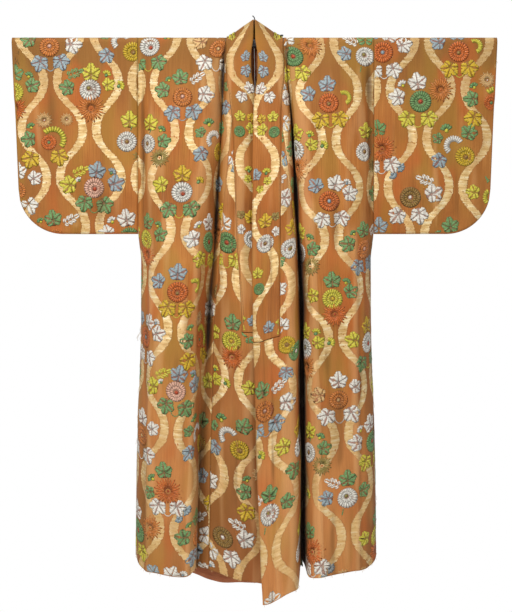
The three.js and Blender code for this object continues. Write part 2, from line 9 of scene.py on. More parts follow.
import bmesh
import bpy
import numpy as np
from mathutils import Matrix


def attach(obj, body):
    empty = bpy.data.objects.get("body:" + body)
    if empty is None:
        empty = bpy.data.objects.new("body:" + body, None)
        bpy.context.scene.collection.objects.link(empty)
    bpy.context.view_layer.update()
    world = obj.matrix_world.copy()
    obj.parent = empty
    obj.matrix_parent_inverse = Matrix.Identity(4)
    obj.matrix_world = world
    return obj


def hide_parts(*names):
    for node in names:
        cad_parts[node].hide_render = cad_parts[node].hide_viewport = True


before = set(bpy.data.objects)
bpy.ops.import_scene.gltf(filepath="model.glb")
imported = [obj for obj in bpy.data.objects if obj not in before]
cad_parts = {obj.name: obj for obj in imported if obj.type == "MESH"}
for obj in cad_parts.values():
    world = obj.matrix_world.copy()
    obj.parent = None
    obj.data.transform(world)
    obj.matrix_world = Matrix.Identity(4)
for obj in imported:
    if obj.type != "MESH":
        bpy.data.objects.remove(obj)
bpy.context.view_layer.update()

bpy.ops.object.select_all(action="DESELECT")
MM = 0.001

# ---- sizes of the robe ------------------------------------------------------------------------
CLOTH_THICK = 2.0
SEAM_GAP = 0.3
PANEL_WIDTH = 341.0
BODY_LENGTH = 1590.0
OVERLAP_WIDTH = 180.0
OVERLAP_TIP_DROP = 250.0
BAND_WIDTH = 84.0
BAND_THICK = 2.6
BAND_DROP = 870.0
NECK_HALF = 84.0
BACK_NECK_DROP = 20.0
SLEEVE_DEPTH = 552.0
SLEEVE_CORNER = 130.0
SLEEVE_TAPER = 18.0
CUFF_DROP = 171.0
CUFF_X = 702.0
ROD_RADIUS = 14.0
ROD_PLAY = 0.9
NECK_X = 4.0
NECK_MIDDLE = -1.0
FOLD_RADIUS = ROD_RADIUS + ROD_PLAY + CLOTH_THICK / 2
FOLD_ARC = FOLD_RADIUS * math.pi / 2
HANG_LENGTH = BODY_LENGTH - FOLD_ARC
ARMHOLE_X = {1: NECK_X + PANEL_WIDTH, -1: NECK_X - PANEL_WIDTH}
# How far out from the rod's middle each sleeve starts.
SLEEVE_HEAD = {side: abs(ARMHOLE_X[side]) + 0.5 for side in (1, -1)}

# ---- the large folds --------------------------------------------------------------------------
# A row for each fold line of a front, from its leading edge to its side seam: its place across
# the robe, and its distance in front of the rod's axis, at each of the levels.
LEVELS = np.array([0, 120, 250, 600, 870, BODY_LENGTH])
FRONT_FOLDS = {
    1: (
        ("leading edge", (1, 2, -4, -6, -4, 22), (17, 25, 31, 46, 62, 118)),
        ("edge ridge", (24, 26, 20, 22, 25, 45), (17, 27, 36, 58, 80, 140)),
        ("ridge crown", (56, 59, 62, 70, 80, 90), (17, 28, 40, 64, 92, 146)),
        ("ridge shoulder", (78, 80, 90, 104, 116, 118), (16, 27, 38, 62, 86, 130)),
        ("cleft wall", (86, 88, 101, 117, 128, 127), (16, 21, 30, 46, 62, 95)),
        ("cleft floor in", (89, 92, 104, 120, 131, 131), (16, 16, 17, 20, 30, 60)),
        ("cleft floor", (92, 95, 107, 125, 136, 138), (16, 14, 12, 10, 18, 45)),
        ("cleft floor out", (95, 98, 110, 130, 141, 146), (16, 16, 17, 22, 32, 62)),
        ("lobe wall", (99, 102, 114, 134, 147, 152), (16, 21, 29, 44, 58, 88)),
        ("lobe corner", (107, 111, 124, 146, 160, 168), (16, 26, 38, 62, 80, 112)),
        ("lobe crest", (122, 126, 140, 162, 178, 190), (16, 28, 42, 68, 90, 122)),
        ("lobe face", (190, 192, 200, 215, 225, 235), (16, 28, 42, 66, 86, 112)),
        ("lobe side", (262, 264, 268, 275, 280, 285), (16, 26, 38, 60, 80, 104)),
        ("side turn", (306, 308, 312, 318, 320, 325), (16, 22, 30, 42, 62, 82)),
        ("side", (326, 328, 331, 337, 343, 350), (16, 17, 18, 16, 30, 42)),
        ("side seam", (345, 345, 345, 345, 346, 352), (0, 0, 0, 0, 0, 0)),
    ),
    -1: (
        ("leading edge", (-3, -2, 14, 30, 44, 46), (17, 21, 19, 22, 28, 38)),
        ("edge flat", (-22, -24, -8, 5, 14, 18), (17, 25, 25, 30, 40, 46)),
        ("centre swell", (-46, -50, -40, -32, -26, -22), (17, 27, 32, 38, 48, 48)),
        ("centre face", (-68, -70, -66, -64, -62, -70), (16, 26, 34, 36, 44, 42)),
        ("valley lip", (-77, -81, -82, -90, -95, -118), (16, 20, 27, 26, 30, 32)),
        ("valley in", (-82, -87, -91, -106, -120, -150), (16, 14, 15, 10, 12, 22)),
        ("valley floor", (-86, -91, -95, -114, -134, -167), (16, 12, 9, 4, 4, 14)),
        ("valley out", (-90, -95, -99, -121, -145, -175), (16, 14, 14, 12, 14, 25)),
        ("lobe wall", (-95, -100, -104, -127, -153, -167), (16, 22, 26, 32, 38, 48)),
        ("lobe corner", (-105, -110, -115, -142, -168, -170), (16, 27, 38, 54, 66, 78)),
        ("lobe crest", (-122, -127, -135, -168, -190, -188), (16, 29, 45, 66, 84, 101)),
        ("lobe face", (-190, -192, -196, -218, -232, -230), (16, 29, 46, 68, 88, 108)),
        ("lobe side", (-256, -257, -262, -268, -275, -277), (16, 27, 40, 60, 78, 98)),
        ("side turn", (-298, -300, -304, -308, -310, -316), (16, 22, 30, 42, 58, 74)),
        ("side", (-318, -320, -323, -329, -334, -341), (16, 17, 18, 16, 28, 38)),
        ("side seam", (-337, -337, -337, -337, -337, -344), (0, 0, 0, 0, 0, 0)),
    ),
}
# How low the hem hangs below the rod's axis, across each front from its leading edge.
HEM_DROP = {
    1: ((0, 110, 180, 245, 400, 521), (1606, 1562, 1490, 1532, 1512, 1478)),
    -1: ((0, 70, 205, 255, 320, 420, 521), (1562, 1552, 1518, 1508, 1532, 1520, 1480)),
}
# The back's waves: their share of the way from the centre seam to the side seam, and their depth.
BACK_FOLDS = (
    ("centre seam", (0, 0, 0, 0, 0, 0), (16, 16, 18, 24, 28, 32)),
    ("centre wave", (0.1, 0.1, 0.1, 0.11, 0.12, 0.12), (16, 17, 20, 30, 38, 50)),
    ("first hollow", (0.28, 0.28, 0.28, 0.3, 0.31, 0.32), (16, 16, 16, 18, 20, 22)),
    ("middle wave", (0.48, 0.48, 0.48, 0.5, 0.51, 0.52), (16, 16, 19, 28, 37, 48)),
    ("second hollow", (0.68, 0.68, 0.68, 0.7, 0.71, 0.72), (16, 16, 16, 16, 20, 24)),
    ("side wave", (0.85, 0.85, 0.86, 0.87, 0.9, 0.9), (16, 16, 16, 20, 32, 44)),
    ("side", (0.95, 0.95, 0.95, 0.98, 1, 1), (16, 16, 15, 12, 18, 26)),
    ("side seam", (1, 1, 1, 1, 1, 1), (0, 0, 0, 0, 0, 0)),
)
BACK_HEM = {"centre": 1570.0, "side": 1484.0}
BACK_HEM_RISE = {1: (0, 0.55), -1: (0.2, 1)}


# ---- small helpers ----------------------------------------------------------------------------
def mix(a, b, t):
    return a + (b - a) * t


def ease(x, start, end):
    t = np.clip((x - start) / (end - start), 0, 1)
    return t * t * (3 - 2 * t)


def unit(vectors):
    """Vectors brought to a length of one. A zero vector stays zero."""
    return vectors / np.maximum(np.linalg.norm(vectors, axis=-1, keepdims=True), 1e-9)


def at_level(values, down):
    """Rows of values at the levels, read at one distance down the cloth, smoothly between them."""
    values = np.asarray(values, float)
    d = min(max(down, 0), BODY_LENGTH)
    i = min(int(np.searchsorted(LEVELS, d, side="right")) - 1, len(LEVELS) - 2)

    def slope(k):
        a, b = max(k - 1, 0), min(k + 1, len(LEVELS) - 1)
        return (values[..., b] - values[..., a]) / (LEVELS[b] - LEVELS[a])

    span = LEVELS[i + 1] - LEVELS[i]
    t = (d - LEVELS[i]) / span
    return (
        (2 * t**3 - 3 * t**2 + 1) * values[..., i]
        + (t**3 - 2 * t**2 + t) * span * slope(i)
        + (3 * t**2 - 2 * t**3) * values[..., i + 1]
        + (t**3 - t**2) * span * slope(i + 1)
    )


def pulled_line(corners, steps=12):
    """The smooth line that a row of corners pulls on, touching the middle of every inner side."""
    middles = (corners[1:-2] + corners[2:-1]) / 2
    starts = np.vstack([corners[:1], middles])[:, None]
    ends = np.vstack([middles, corners[-1:]])[:, None]
    bends = corners[1:-1][:, None]
    t = (np.arange(1, steps + 1) / steps)[None, :, None]
    curve = (1 - t) ** 2 * starts + 2 * t * (1 - t) * bends + t**2 * ends
    return np.vstack([corners[:1], curve.reshape(-1, 2)])


def run_of(line):
    """How far along a line each of its points lies."""
    steps = np.linalg.norm(np.diff(line, axis=0), axis=1)
    return np.concatenate([[0], np.cumsum(steps)])


# ---- how the cloth hangs ----------------------------------------------------------------------
SEWN_HALF = 1.6
SEAM_HALF = 0.3
SEAM_CLOSES = 260.0
SEAM_SET = 6.0


def half_gap(z, bottom=-SLEEVE_DEPTH):
    """Half the gap between a sleeve's two layers, and the body's at its armhole."""
    over = np.sqrt(np.maximum(FOLD_RADIUS**2 - z**2, 0))
    return np.where(z >= 0, over, mix(FOLD_RADIUS, SEWN_HALF, np.clip(z / bottom, 0, 1) ** 2))


def side_seam_y(z, layer):
    """How far behind the rod's axis a layer's side edge lies: layer is -1 in front and 1 behind."""
    below = max(min((-z - SLEEVE_DEPTH) / (HANG_LENGTH - SLEEVE_DEPTH), 1), 0)
    if z > -SLEEVE_DEPTH:
        return SEAM_SET * below + layer * float(half_gap(z))
    return SEAM_SET * below + layer * mix(
        SEWN_HALF, SEAM_HALF, ease(-z, SLEEVE_DEPTH, SLEEVE_DEPTH + SEAM_CLOSES)
    )


# How far the side seam draws in just below the sleeve, and how far the leading edges part, each
# side, a little below the chin, with the drops down the cloth where this comes in and goes again.
TUCK = {"size": 9.0, "from": 602, "full": 690, "leaves": 870, "gone": 1350}
SLIT = {"size": 6.5, "from": 35, "full": 75, "leaves": 125, "gone": 180}


def passing(down, spot):
    shown = spot["size"] * ease(down, spot["from"], spot["full"])
    return shown * (1 - ease(down, spot["leaves"], spot["gone"]))


def seam_x(side, down):
    """Where the side seam lies across the robe."""
    return at_level(FRONT_FOLDS[side][-1][1], down) - side * passing(down, TUCK)


def body_seam_at(down):
    """How far in from the leading edge the overlap, or the neckband above it, meets the front."""
    share = np.clip((down - OVERLAP_TIP_DROP) / (BAND_DROP - OVERLAP_TIP_DROP), 0, 1)
    return mix(BAND_WIDTH, OVERLAP_WIDTH, share)


def front_width(down):
    cut_away = NECK_HALF * (1 - np.clip(down / OVERLAP_TIP_DROP, 0, 1))
    return body_seam_at(down) + PANEL_WIDTH - cut_away


LEVEL_STEP = 10.0
TABLE_DOWNS = np.arange(0, BODY_LENGTH + LEVEL_STEP / 2, LEVEL_STEP)
TABLE_SHARES = np.linspace(0, 1, 421)
# The least and the most that a front's folds are deepened, and how closely that is worked out.
FOLD_SCALES = (0.6, 1.6)
FOLD_HALVINGS = 18
NECK_SETTLES = 300.0


def front_line(side, down):
    """A front's level line, its folds deepened until it is as long as the cloth is wide."""
    rows = FRONT_FOLDS[side]
    xs = at_level([row[1] for row in rows], down)
    xs[-3:] -= side * passing(down, TUCK)
    xs[0] += side * passing(down, SLIT)
    depths = at_level([row[2] for row in rows], down)
    seam_z = -max(down - FOLD_ARC, 0) * (HEM_DROP[side][1][-1] / HANG_LENGTH)
    low, high = FOLD_SCALES
    for _ in range(FOLD_HALVINGS):
        scale = (low + high) / 2
        ys = -(FOLD_RADIUS + (depths - FOLD_RADIUS) * scale)
        ys[-2] = -depths[-2]
        ys[-1] = side_seam_y(seam_z, -1)
        line = pulled_line(np.column_stack([xs, ys]))
        if run_of(line)[-1] < front_width(down):
            low = scale
        else:
            high = scale
    return line


def back_line(side, down):
    shares = at_level([row[1] for row in BACK_FOLDS], down)
    xs = mix(mix(NECK_MIDDLE, NECK_X, ease(down, 0, NECK_SETTLES)), seam_x(side, down), shares)
    ys = at_level([row[2] for row in BACK_FOLDS], down)
    ys[-1] = side_seam_y(-max(down - FOLD_ARC, 0) * (BACK_HEM["side"] / HANG_LENGTH), 1)
    return pulled_line(np.column_stack([xs, ys]))


def line_table(make_line):
    """Points at even shares of the cloth's width, for every table level."""
    rows = []
    for down in TABLE_DOWNS:
        line = make_line(down)
        run = run_of(line)
        rows.append([np.interp(TABLE_SHARES * run[-1], run, line[:, k]) for k in (0, 1)])
    return np.array(rows).transpose(0, 2, 1)


FRONT_TABLE = {side: line_table(lambda down, side=side: front_line(side, down)) for side in (1, -1)}
BACK_TABLE = {side: line_table(lambda down, side=side: back_line(side, down)) for side in (1, -1)}


def read_table(table, share, down):
    """The point of a line table at a share of the cloth's width and a distance down it."""
    a = np.clip(down / LEVEL_STEP, 0, len(TABLE_DOWNS) - 1.0001)
    b = np.clip(share, 0, 1) * (len(TABLE_SHARES) - 1)
    b = np.minimum(b, len(TABLE_SHARES) - 1.0001)
    i, j = a.astype(int), b.astype(int)
    s, t = (a - i)[..., None], (b - j)[..., None]
    upper = mix(table[i, j], table[i, j + 1], t)
    return mix(upper, mix(table[i + 1, j], table[i + 1, j + 1], t), s)


def hem_drop_at(side, across):
    """How low the hem hangs, across a front from its leading edge."""
    acrosses, drops = (np.array(row, float) for row in HEM_DROP[side])
    i = np.clip(np.searchsorted(acrosses, across, side="right") - 1, 0, len(acrosses) - 2)
    return mix(drops[i], drops[i + 1], ease(across, acrosses[i], acrosses[i + 1]))


def front_form(side, across, down):
    """The smooth front: across is measured on the cloth from the leading edge, down from the fold."""
    across, down = np.broadcast_arrays(np.asarray(across, float), np.asarray(down, float))
    share = across / front_width(down)
    flat = read_table(FRONT_TABLE[side], share, down)
    x, reach = flat[..., 0], -flat[..., 1] - FOLD_RADIUS
    settle = ease(down, 0, FOLD_ARC * 2)
    turn = np.minimum(down, FOLD_ARC) / FOLD_RADIUS
    y = -FOLD_RADIUS * np.sin(turn) - reach * settle
    hang = hem_drop_at(side, share * front_width(BODY_LENGTH)) / HANG_LENGTH
    z = np.where(down < FOLD_ARC, FOLD_RADIUS * np.cos(turn), -(down - FOLD_ARC) * hang)
    return np.stack([x, y, z], -1)


def back_form(across, down):
    """The smooth back: across is measured from the centre seam, wearer's right below zero."""
    across, down = np.broadcast_arrays(np.asarray(across, float), np.asarray(down, float))
    points = []
    for side in (1, -1):
        share = np.abs(across) / PANEL_WIDTH
        flat = read_table(BACK_TABLE[side], share, down)
        turn = np.minimum(down, FOLD_ARC) / FOLD_RADIUS
        settle = ease(down, FOLD_ARC, FOLD_ARC * 2)
        y = FOLD_RADIUS * np.sin(turn) + np.where(down < FOLD_ARC, 0, (flat[..., 1] - FOLD_RADIUS) * settle)
        drop = mix(BACK_HEM["centre"], BACK_HEM["side"], ease(share, *BACK_HEM_RISE[side]))
        z = np.where(down < FOLD_ARC, FOLD_RADIUS * np.cos(turn), -(down - FOLD_ARC) * drop / HANG_LENGTH)
        points.append(np.stack([flat[..., 0], y, z], -1))
    return np.where((across < 0)[..., None], points[1], points[0])


def neck_dip(across):
    """How far the back's neck edge is cut down below the fold."""
    return BACK_NECK_DROP * (1 - np.clip(across / NECK_HALF, 0, 1) ** 2)


BAND_LIFT = 52.0
BAND_LEAN = 8.0
BAND_FLAT = 0.25
BAND_BOW = 1.3
LIFT_FADES = 60.0
LEAN_FADES = 12.0
BELLY_UP = 5.0
BELLY_BACK = 5.0
NECK_INSET = 2.5
NECK_INSET_FADES = 30.0
NECK_CORNER = 30
PEAK = np.array([NECK_MIDDLE, 5.5, FOLD_RADIUS + BAND_LIFT])


def band_front(side, down, up, inset):
    """The neckband where it runs down a front, which it is sewn to at its lower edge."""
    p = front_form(side, (BAND_WIDTH - inset) * (1 - up), np.maximum(down, 0))
    rise = np.clip((up - BAND_FLAT) / (1 - BAND_FLAT), 0, 1) ** BAND_BOW
    p[..., 2] += BAND_LIFT * rise * np.exp(-np.maximum(down, 0) / LIFT_FADES)
    p[..., 1] -= BAND_LEAN * up * np.exp(-np.maximum(down, 0) / LEAN_FADES)
    return p


def band_form(station, up):
    """The neckband: station runs from the centre back, wearer's right below zero, and up from
    its seam (0) to its free edge (1)."""
    station, up = np.broadcast_arrays(np.asarray(station, float), np.asarray(up, float))
    result = np.zeros(station.shape + (3,))
    for side in (1, -1):
        reach = np.abs(station)
        inset = SEAM_GAP + 0.1 + NECK_INSET * (1 - ease(reach, NECK_HALF, NECK_HALF + NECK_INSET_FADES))
        in_front = band_front(side, reach - NECK_HALF, up, inset)
        share = np.clip(reach / NECK_HALF, 0, 1)[..., None]
        none = np.zeros_like(up)
        seam = mix(back_form(side * np.minimum(reach, NECK_HALF), neck_dip(reach)),
                   band_front(side, none, none, none), share**NECK_CORNER)
        free = mix(PEAK, band_front(side, none, none + 1, none), share)
        gap = np.linalg.norm(free - seam, axis=-1)
        behind = mix(seam, free, mix(inset / gap, 1, up)[..., None])
        swell = np.sin(math.pi * up)
        behind[..., 2] += BELLY_UP * share[..., 0] * (1 - share[..., 0] ** 4) * swell
        behind[..., 1] += BELLY_BACK * swell * (1 - share[..., 0] ** 2)
        made = np.where((reach >= NECK_HALF)[..., None], in_front, behind)
        result = np.where((station < 0)[..., None] == (side < 0), made, result)
    return result


SWAY = {"depth": 5.0, "turns": 7, "from": 30, "full": 300}
SWAY_END = 1 / 1.4
WRIST_DROP_EASE = 15.0
WRIST_SHARE_EASE = 0.82


def sleeve_bottom(out):
    """The height of the sleeve's lower edge, at a distance out from the rod's middle."""
    run = np.clip(out - (CUFF_X - SLEEVE_TAPER - SLEEVE_CORNER), 0, SLEEVE_CORNER)
    return SLEEVE_CORNER - SLEEVE_DEPTH - np.sqrt(SLEEVE_CORNER**2 - run**2)


def sleeve_end(z):
    """How far out the sleeve's outer edge lies at a height."""
    return CUFF_X - SLEEVE_TAPER * np.clip(z / (SLEEVE_CORNER - SLEEVE_DEPTH), 0, 1)


def sleeve_form(side, out, z, layer):
    """A sleeve's smooth middle surface below the rod: layer is -1 in front and 1 behind."""
    start = SLEEVE_HEAD[side]
    end = sleeve_end(z)
    share = np.clip((out - start) / (end - start), 0, 1)
    bottom = sleeve_bottom(out)
    below_wrist = ease(-z, CUFF_DROP - WRIST_DROP_EASE, CUFF_DROP + WRIST_DROP_EASE)
    wrist = below_wrist * ease(share, WRIST_SHARE_EASE, 1)
    half = mix(half_gap(z, bottom), SEWN_HALF, wrist)
    wave = np.sin(share * SWAY["turns"] + side) * np.sin(math.pi * np.minimum(share / SWAY_END, 1))
    lean = SWAY["depth"] * wave * ease(-z, SWAY["from"], SWAY["full"])
    return np.stack([side * out, lean + layer * half, z + 0 * out], -1)


# ---- creases ----------------------------------------------------------------------------------
# Ridges and troughs on a front: where each lies across the robe at its head and foot, the drops
# between which it shows, and how far it stands out of the cloth and how wide it is.
FRONT_CREASES = {
    1: (
        (158, 192, 480, 1590, 3.6, 6),
        (180, 204, 500, 1590, -2.6, 8),
        (284, 294, 560, 1590, 3.4, 8),
        (300, 309, 560, 1590, -3.4, 8),
        (232, 246, 260, 1250, -2.2, 18),
        (205, 226, 900, 1590, -2.4, 11),
        (262, 268, 60, 700, 1.6, 10),
        (46, 52, 520, 1500, -4.2, 6),
        (62, 68, 380, 1100, -2.8, 7),
        (20, 42, 700, 1590, -2.8, 7),
        (98, 112, 640, 1590, 2.4, 8),
        (76, 88, 160, 620, -2.0, 8),
        (8, 30, 150, 1100, -1.4, 8),
        (150, 168, 40, 420, 1.4, 9),
        (186, 190, 20, 330, -1.6, 9),
        (222, 218, 15, 260, 1.1, 9),
        (300, 304, 40, 520, 1.6, 9),
        (331, 333, 60, 520, -3.4, 9),
        (318, 326, 640, 1500, -2.0, 9),
    ),
    -1: (
        (-160, -190, 560, 1590, 3.6, 6),
        (-178, -206, 560, 1590, -2.6, 8),
        (-292, -306, 560, 1590, 3.2, 7),
        (-305, -318, 560, 1590, -3.2, 8),
        (-214, -226, 420, 1500, -2.4, 16),
        (-250, -246, 900, 1590, -2.0, 12),
        (-262, -262, 50, 640, 1.7, 10),
        (-64, -60, 80, 900, -3.0, 7),
        (-34, -38, 250, 1000, 2.0, 10),
        (-46, -52, 620, 1590, -2.8, 8),
        (-90, -96, 500, 1400, 2.2, 8),
        (-10, -4, 820, 1560, 2.2, 9),
        (-146, -150, 40, 420, 1.5, 9),
        (-178, -186, 20, 360, -1.6, 10),
        (-226, -222, 15, 240, 1.0, 9),
        (-294, -300, 40, 540, 1.6, 9),
        (-324, -326, 50, 560, -4.6, 9),
        (-318, -326, 640, 1500, -2.0, 9),
    ),
}
BACK_CREASES = (
    (-300, -306, 500, 1590, 2.2, 9),
    (-262, -250, 60, 760, 1.5, 11),
    (-196, -206, 300, 1590, -2.0, 14),
    (-150, -160, 30, 520, 1.3, 10),
    (-112, -120, 700, 1590, 2.4, 10),
    (-58, -66, 160, 1100, -1.6, 15),
    (40, 52, 420, 1590, 1.8, 12),
    (96, 104, 40, 620, -1.4, 11),
    (150, 166, 640, 1590, 2.4, 10),
    (205, 200, 30, 540, 1.4, 10),
    (238, 250, 700, 1590, -2.2, 14),
    (296, 308, 420, 1500, 2.0, 9),
)
# The same for a sleeve, its places measured outwards from the armhole.
SLEEVE_CREASES = (
    (52, 60, 40, 560, 1.3, 9),
    (118, 110, 30, 520, -1.2, 12),
    (176, 180, 60, 580, 1.6, 6),
    (236, 246, 120, 590, -1.3, 12),
    (292, 284, 40, 480, 1.3, 9),
)
CREASE_FADE = 90.0
# Slow unevenness of the cloth: wave lengths across and down, and heights.
SWELLS = (
    (64, 900, 0.7),
    (-97, 520, 0.8),
    (143, 310, 0.6),
    (-41, 760, 0.45),
    (31, 260, 0.25),
    (230, 170, 0.4),
)


# Where shade is painted beside the left side seam and in the left fold, as if the creases there were this
# deep. The right armhole and the right fold are painted lighter, as if they opened to the light and were
# shallower.
PAINTED_SHADE_ROWS = {
    1: (
        (339, 348, 70, 560, -1.4, 9),
        (339, 348, 560, 1590, -3.4, 11),
        (97, 132, 150, 620, -7.0, 7),
        (132, 140, 600, 1590, -10.0, 14),
    ),
    -1: (
        (-328, -328, 60, 560, 2.2, 12),
        (-92, -134, 120, 790, 2.4, 8),
        (-141, -160, 790, 1590, 5.0, 9),
    ),
}
CREASE_SHARPNESS = 1.5
REACHES_HEM = BODY_LENGTH - 100


def creased(rows, x, down):
    """The height of a table's ridges and troughs. Those that end near the hem run out over it."""
    height = np.zeros(np.broadcast(x, down).shape)
    for head, foot, start, end, tall, wide in rows:
        line = mix(head, foot, np.clip((down - start) / (end - start), 0, 1))
        shown = ease(down, start, start + CREASE_FADE) * (1 - ease(down, end, end + CREASE_FADE))
        if end >= REACHES_HEM:
            shown = ease(down, start, start + CREASE_FADE)
        height = height + tall * shown * np.exp(-(np.abs((x - line) / wide) ** CREASE_SHARPNESS))
    return height


def relief(rows, x, down, start):
    """How far the cloth stands out of its smooth form."""
    height = creased(rows, x, down)
    settle = ease(down, FOLD_ARC, 160)
    for k, (across, along, tall) in enumerate(SWELLS):
        waves = 2 * math.pi * (x / across + down / along)
        height = height + tall * settle * np.sin(waves + start + 2.1 * k)
    return height


def turned(surface, a, b, step, sign):
    """A surface's points and its unit normals. The sign says on which side the cloth's face lies."""
    da, db = step
    across = surface(a + da, b) - surface(a - da, b)
    along = surface(a, b + db) - surface(a, b - db)
    return surface(a, b), unit(sign * np.cross(across, along))


# Over which distances from the armhole, and heights by the sleeve's foot, its edge turns square.
SQUARE_FADES = (1, 14)
SQUARE_FOOT = (-SLEEVE_DEPTH - 50, -SLEEVE_DEPTH - 25)


def armhole_square(point, normal):
    """At the armhole the cloth's edge is square to the sleeve beside it."""
    near = np.minimum(np.abs(point[..., 0] - ARMHOLE_X[1]), np.abs(point[..., 0] - ARMHOLE_X[-1]))
    share = (1 - ease(near, *SQUARE_FADES)) * ease(point[..., 2], *SQUARE_FOOT)
    return unit(normal * np.stack([1 - share, np.ones_like(share), np.ones_like(share)], -1))


# Over how many steps to each side a fold counts as standing out, and how much of that is added to the relief
# from which shade is painted.
BEND_REACH = 9
BEND_SHARE = 0.65


class Surface:
    """A hanging cloth as a function of two lengths on it. Its height, at each place and distance
    across the robe, is how far its creases stand out; the sign says on which side its face lies."""

    def __init__(self, form, sign, step, height, painted_shade=None):
        self.form, self.sign, self.step, self.height, self.painted_shade = form, sign, step, height, painted_shade

    def relief_at(self, a, b):
        """How far the cloth stands out of what lies beside it, by its creases and by its folds, with the
        painted shade rows added: the materials paint shade and highlight from it.
        """
        point, normal = turned(self.form, a, b, self.step, self.sign)
        reach = BEND_REACH * self.step[0]
        beside = (self.form(a - reach, b) + self.form(a + reach, b)) / 2
        shown = self.height(a, b, point[..., 0]) + BEND_SHARE * ((point - beside) * normal).sum(-1)
        return shown + self.painted_shade(point[..., 0], b) if self.painted_shade else shown

    def middle(self, a, b):
        point, normal = turned(self.form, a, b, self.step, self.sign)
        return point + armhole_square(point, normal) * self.height(a, b, point[..., 0])[..., None]

    def at(self, a, b, lift=0.0):
        """Points at a height over the cloth's middle, and the normals there."""
        a, b = np.broadcast_arrays(np.asarray(a, float), np.asarray(b, float))
        point, normal = turned(self.middle, a, b, self.step, self.sign)
        normal = armhole_square(point, normal)
        return point + normal * np.asarray(lift)[..., None], normal


# The steps over which each surface's slope is taken, in its own two lengths.
BODY_STEP, BAND_STEP, SLEEVE_STEP = (2.5, 2.5), (0.03, 2.5), (2.5, 1.5)
# Near its seams a piece has no creases, so that it meets its neighbours.
CALM_BY_SEAM = (1, 13)
SWELL_STARTS = {"front": 3.0, "back": 1.3, "sleeve": 5.0}


def front_surface(side):
    def height(across, down, x):
        calm = ease(front_width(down) - across, *CALM_BY_SEAM)
        return relief(FRONT_CREASES[side], x, down, side + SWELL_STARTS["front"]) * calm

    return Surface(lambda across, down: front_form(side, across, down), -side, BODY_STEP, height,
                   lambda x, down: creased(PAINTED_SHADE_ROWS[side], x, down))


def back_surface():
    def height(across, down, x):
        calm = ease(PANEL_WIDTH - np.abs(across), *CALM_BY_SEAM)
        return relief(BACK_CREASES, x, down, SWELL_STARTS["back"]) * calm

    return Surface(back_form, 1, BODY_STEP, height)


def band_surface():
    """The neckband, at (up, station). In front it has the creases of the front that it is sewn to."""

    def height(up, station, x):
        down = np.abs(station) - NECK_HALF
        left, right = (
            relief(FRONT_CREASES[side], x, down, side + SWELL_STARTS["front"]) for side in (1, -1)
        )
        return np.where(station < 0, right, left) * ease(down, 20, 120)

    return Surface(lambda up, station: band_form(station, up), 1, BAND_STEP, height)


def sleeve_surface(side):
    """A sleeve at (out from the armhole, run over the rod: positive in front)."""
    start = SLEEVE_HEAD[side]

    def form(out, run):
        out, run = np.broadcast_arrays(np.asarray(out, float), np.asarray(run, float))
        reach = np.abs(run)
        turn = np.minimum(reach, FOLD_ARC) / FOLD_RADIUS
        layer = np.where(run > 0, -1.0, 1.0)
        over = np.stack(
            [side * (start + out), layer * FOLD_RADIUS * np.sin(turn), FOLD_RADIUS * np.cos(turn)], -1
        )
        hung = sleeve_form(side, start + out, -np.maximum(reach - FOLD_ARC, 0), layer)
        return np.where((reach < FOLD_ARC)[..., None], over, hung)

    def height(out, run, x):
        z = -np.maximum(np.abs(run) - FOLD_ARC, 0)
        to_bottom = z - sleeve_bottom(start + out)
        to_end = sleeve_end(z) - start - out
        calm = ease(out, 1, 16) * ease(to_bottom, 2, 26) * ease(to_end, 2, 22)
        return relief(SLEEVE_CREASES, out + 0 * x, np.abs(run), side + SWELL_STARTS["sleeve"]) * calm

    return Surface(form, -side, SLEEVE_STEP, height)


# ---- the brocade's drawing --------------------------------------------------------------------
LINE_PITCH = 108.0
BODY_REPEAT = 290.0
SLEEVE_REPEAT = {1: 280.0, -1: 278.0}
# How far the drawing lies further in from the armhole, at drops down the cloth.
BODY_LEAN = ((0, 200, 500, 780, 1080, 1370, 1590), (9, 15, 24, 38, 38, 29, 24))
SLEEVE_LEAN = {1: ((0, 560), (3, -8)), -1: ((0, 560), (4, -12))}
STRAIGHT = ((0, 1), (0, 0))
# Where the drawing starts on each piece, across and down, and how it leans.
SLEEVE_START = {1: (-27, 158, SLEEVE_LEAN[1]), -1: (-18, 135, SLEEVE_LEAN[-1])}
FRONT_START = {1: (-34, 175, BODY_LEAN), -1: (-34, 149, BODY_LEAN)}
OVERLAP_START = {1: (85, 152, STRAIGHT), -1: (62, 140, STRAIGHT)}
BAND_START = (34, 85, STRAIGHT)


def lean_of(start, along):
    """How far the drawing has shifted at a distance along the cloth."""
    return np.interp(np.abs(along), *start[2])


def drawn(across, along, start, repeat):
    """A place in the drawing: how many band lines across, and how many repeats down."""
    across, along = np.broadcast_arrays(across, along)
    lines = (across - start[0] - lean_of(start, along)) / LINE_PITCH
    return np.stack([lines, (along - start[1]) / repeat], -1)


def front_pattern(side):
    return lambda across, down: drawn(front_width(down) - across, down, FRONT_START[side], BODY_REPEAT)


def overlap_pattern(side):
    return lambda across, down: drawn(across, down, OVERLAP_START[side], BODY_REPEAT)


def back_pattern(side):
    return lambda across, down: drawn(PANEL_WIDTH - np.abs(across), -down, FRONT_START[side], BODY_REPEAT)


def band_pattern(up, station):
    return drawn((1 - up) * BAND_WIDTH, np.abs(station) - NECK_HALF, BAND_START, BODY_REPEAT)


def sleeve_pattern(side):
    return lambda out, run: drawn(out, run, SLEEVE_START[side], SLEEVE_REPEAT[side])


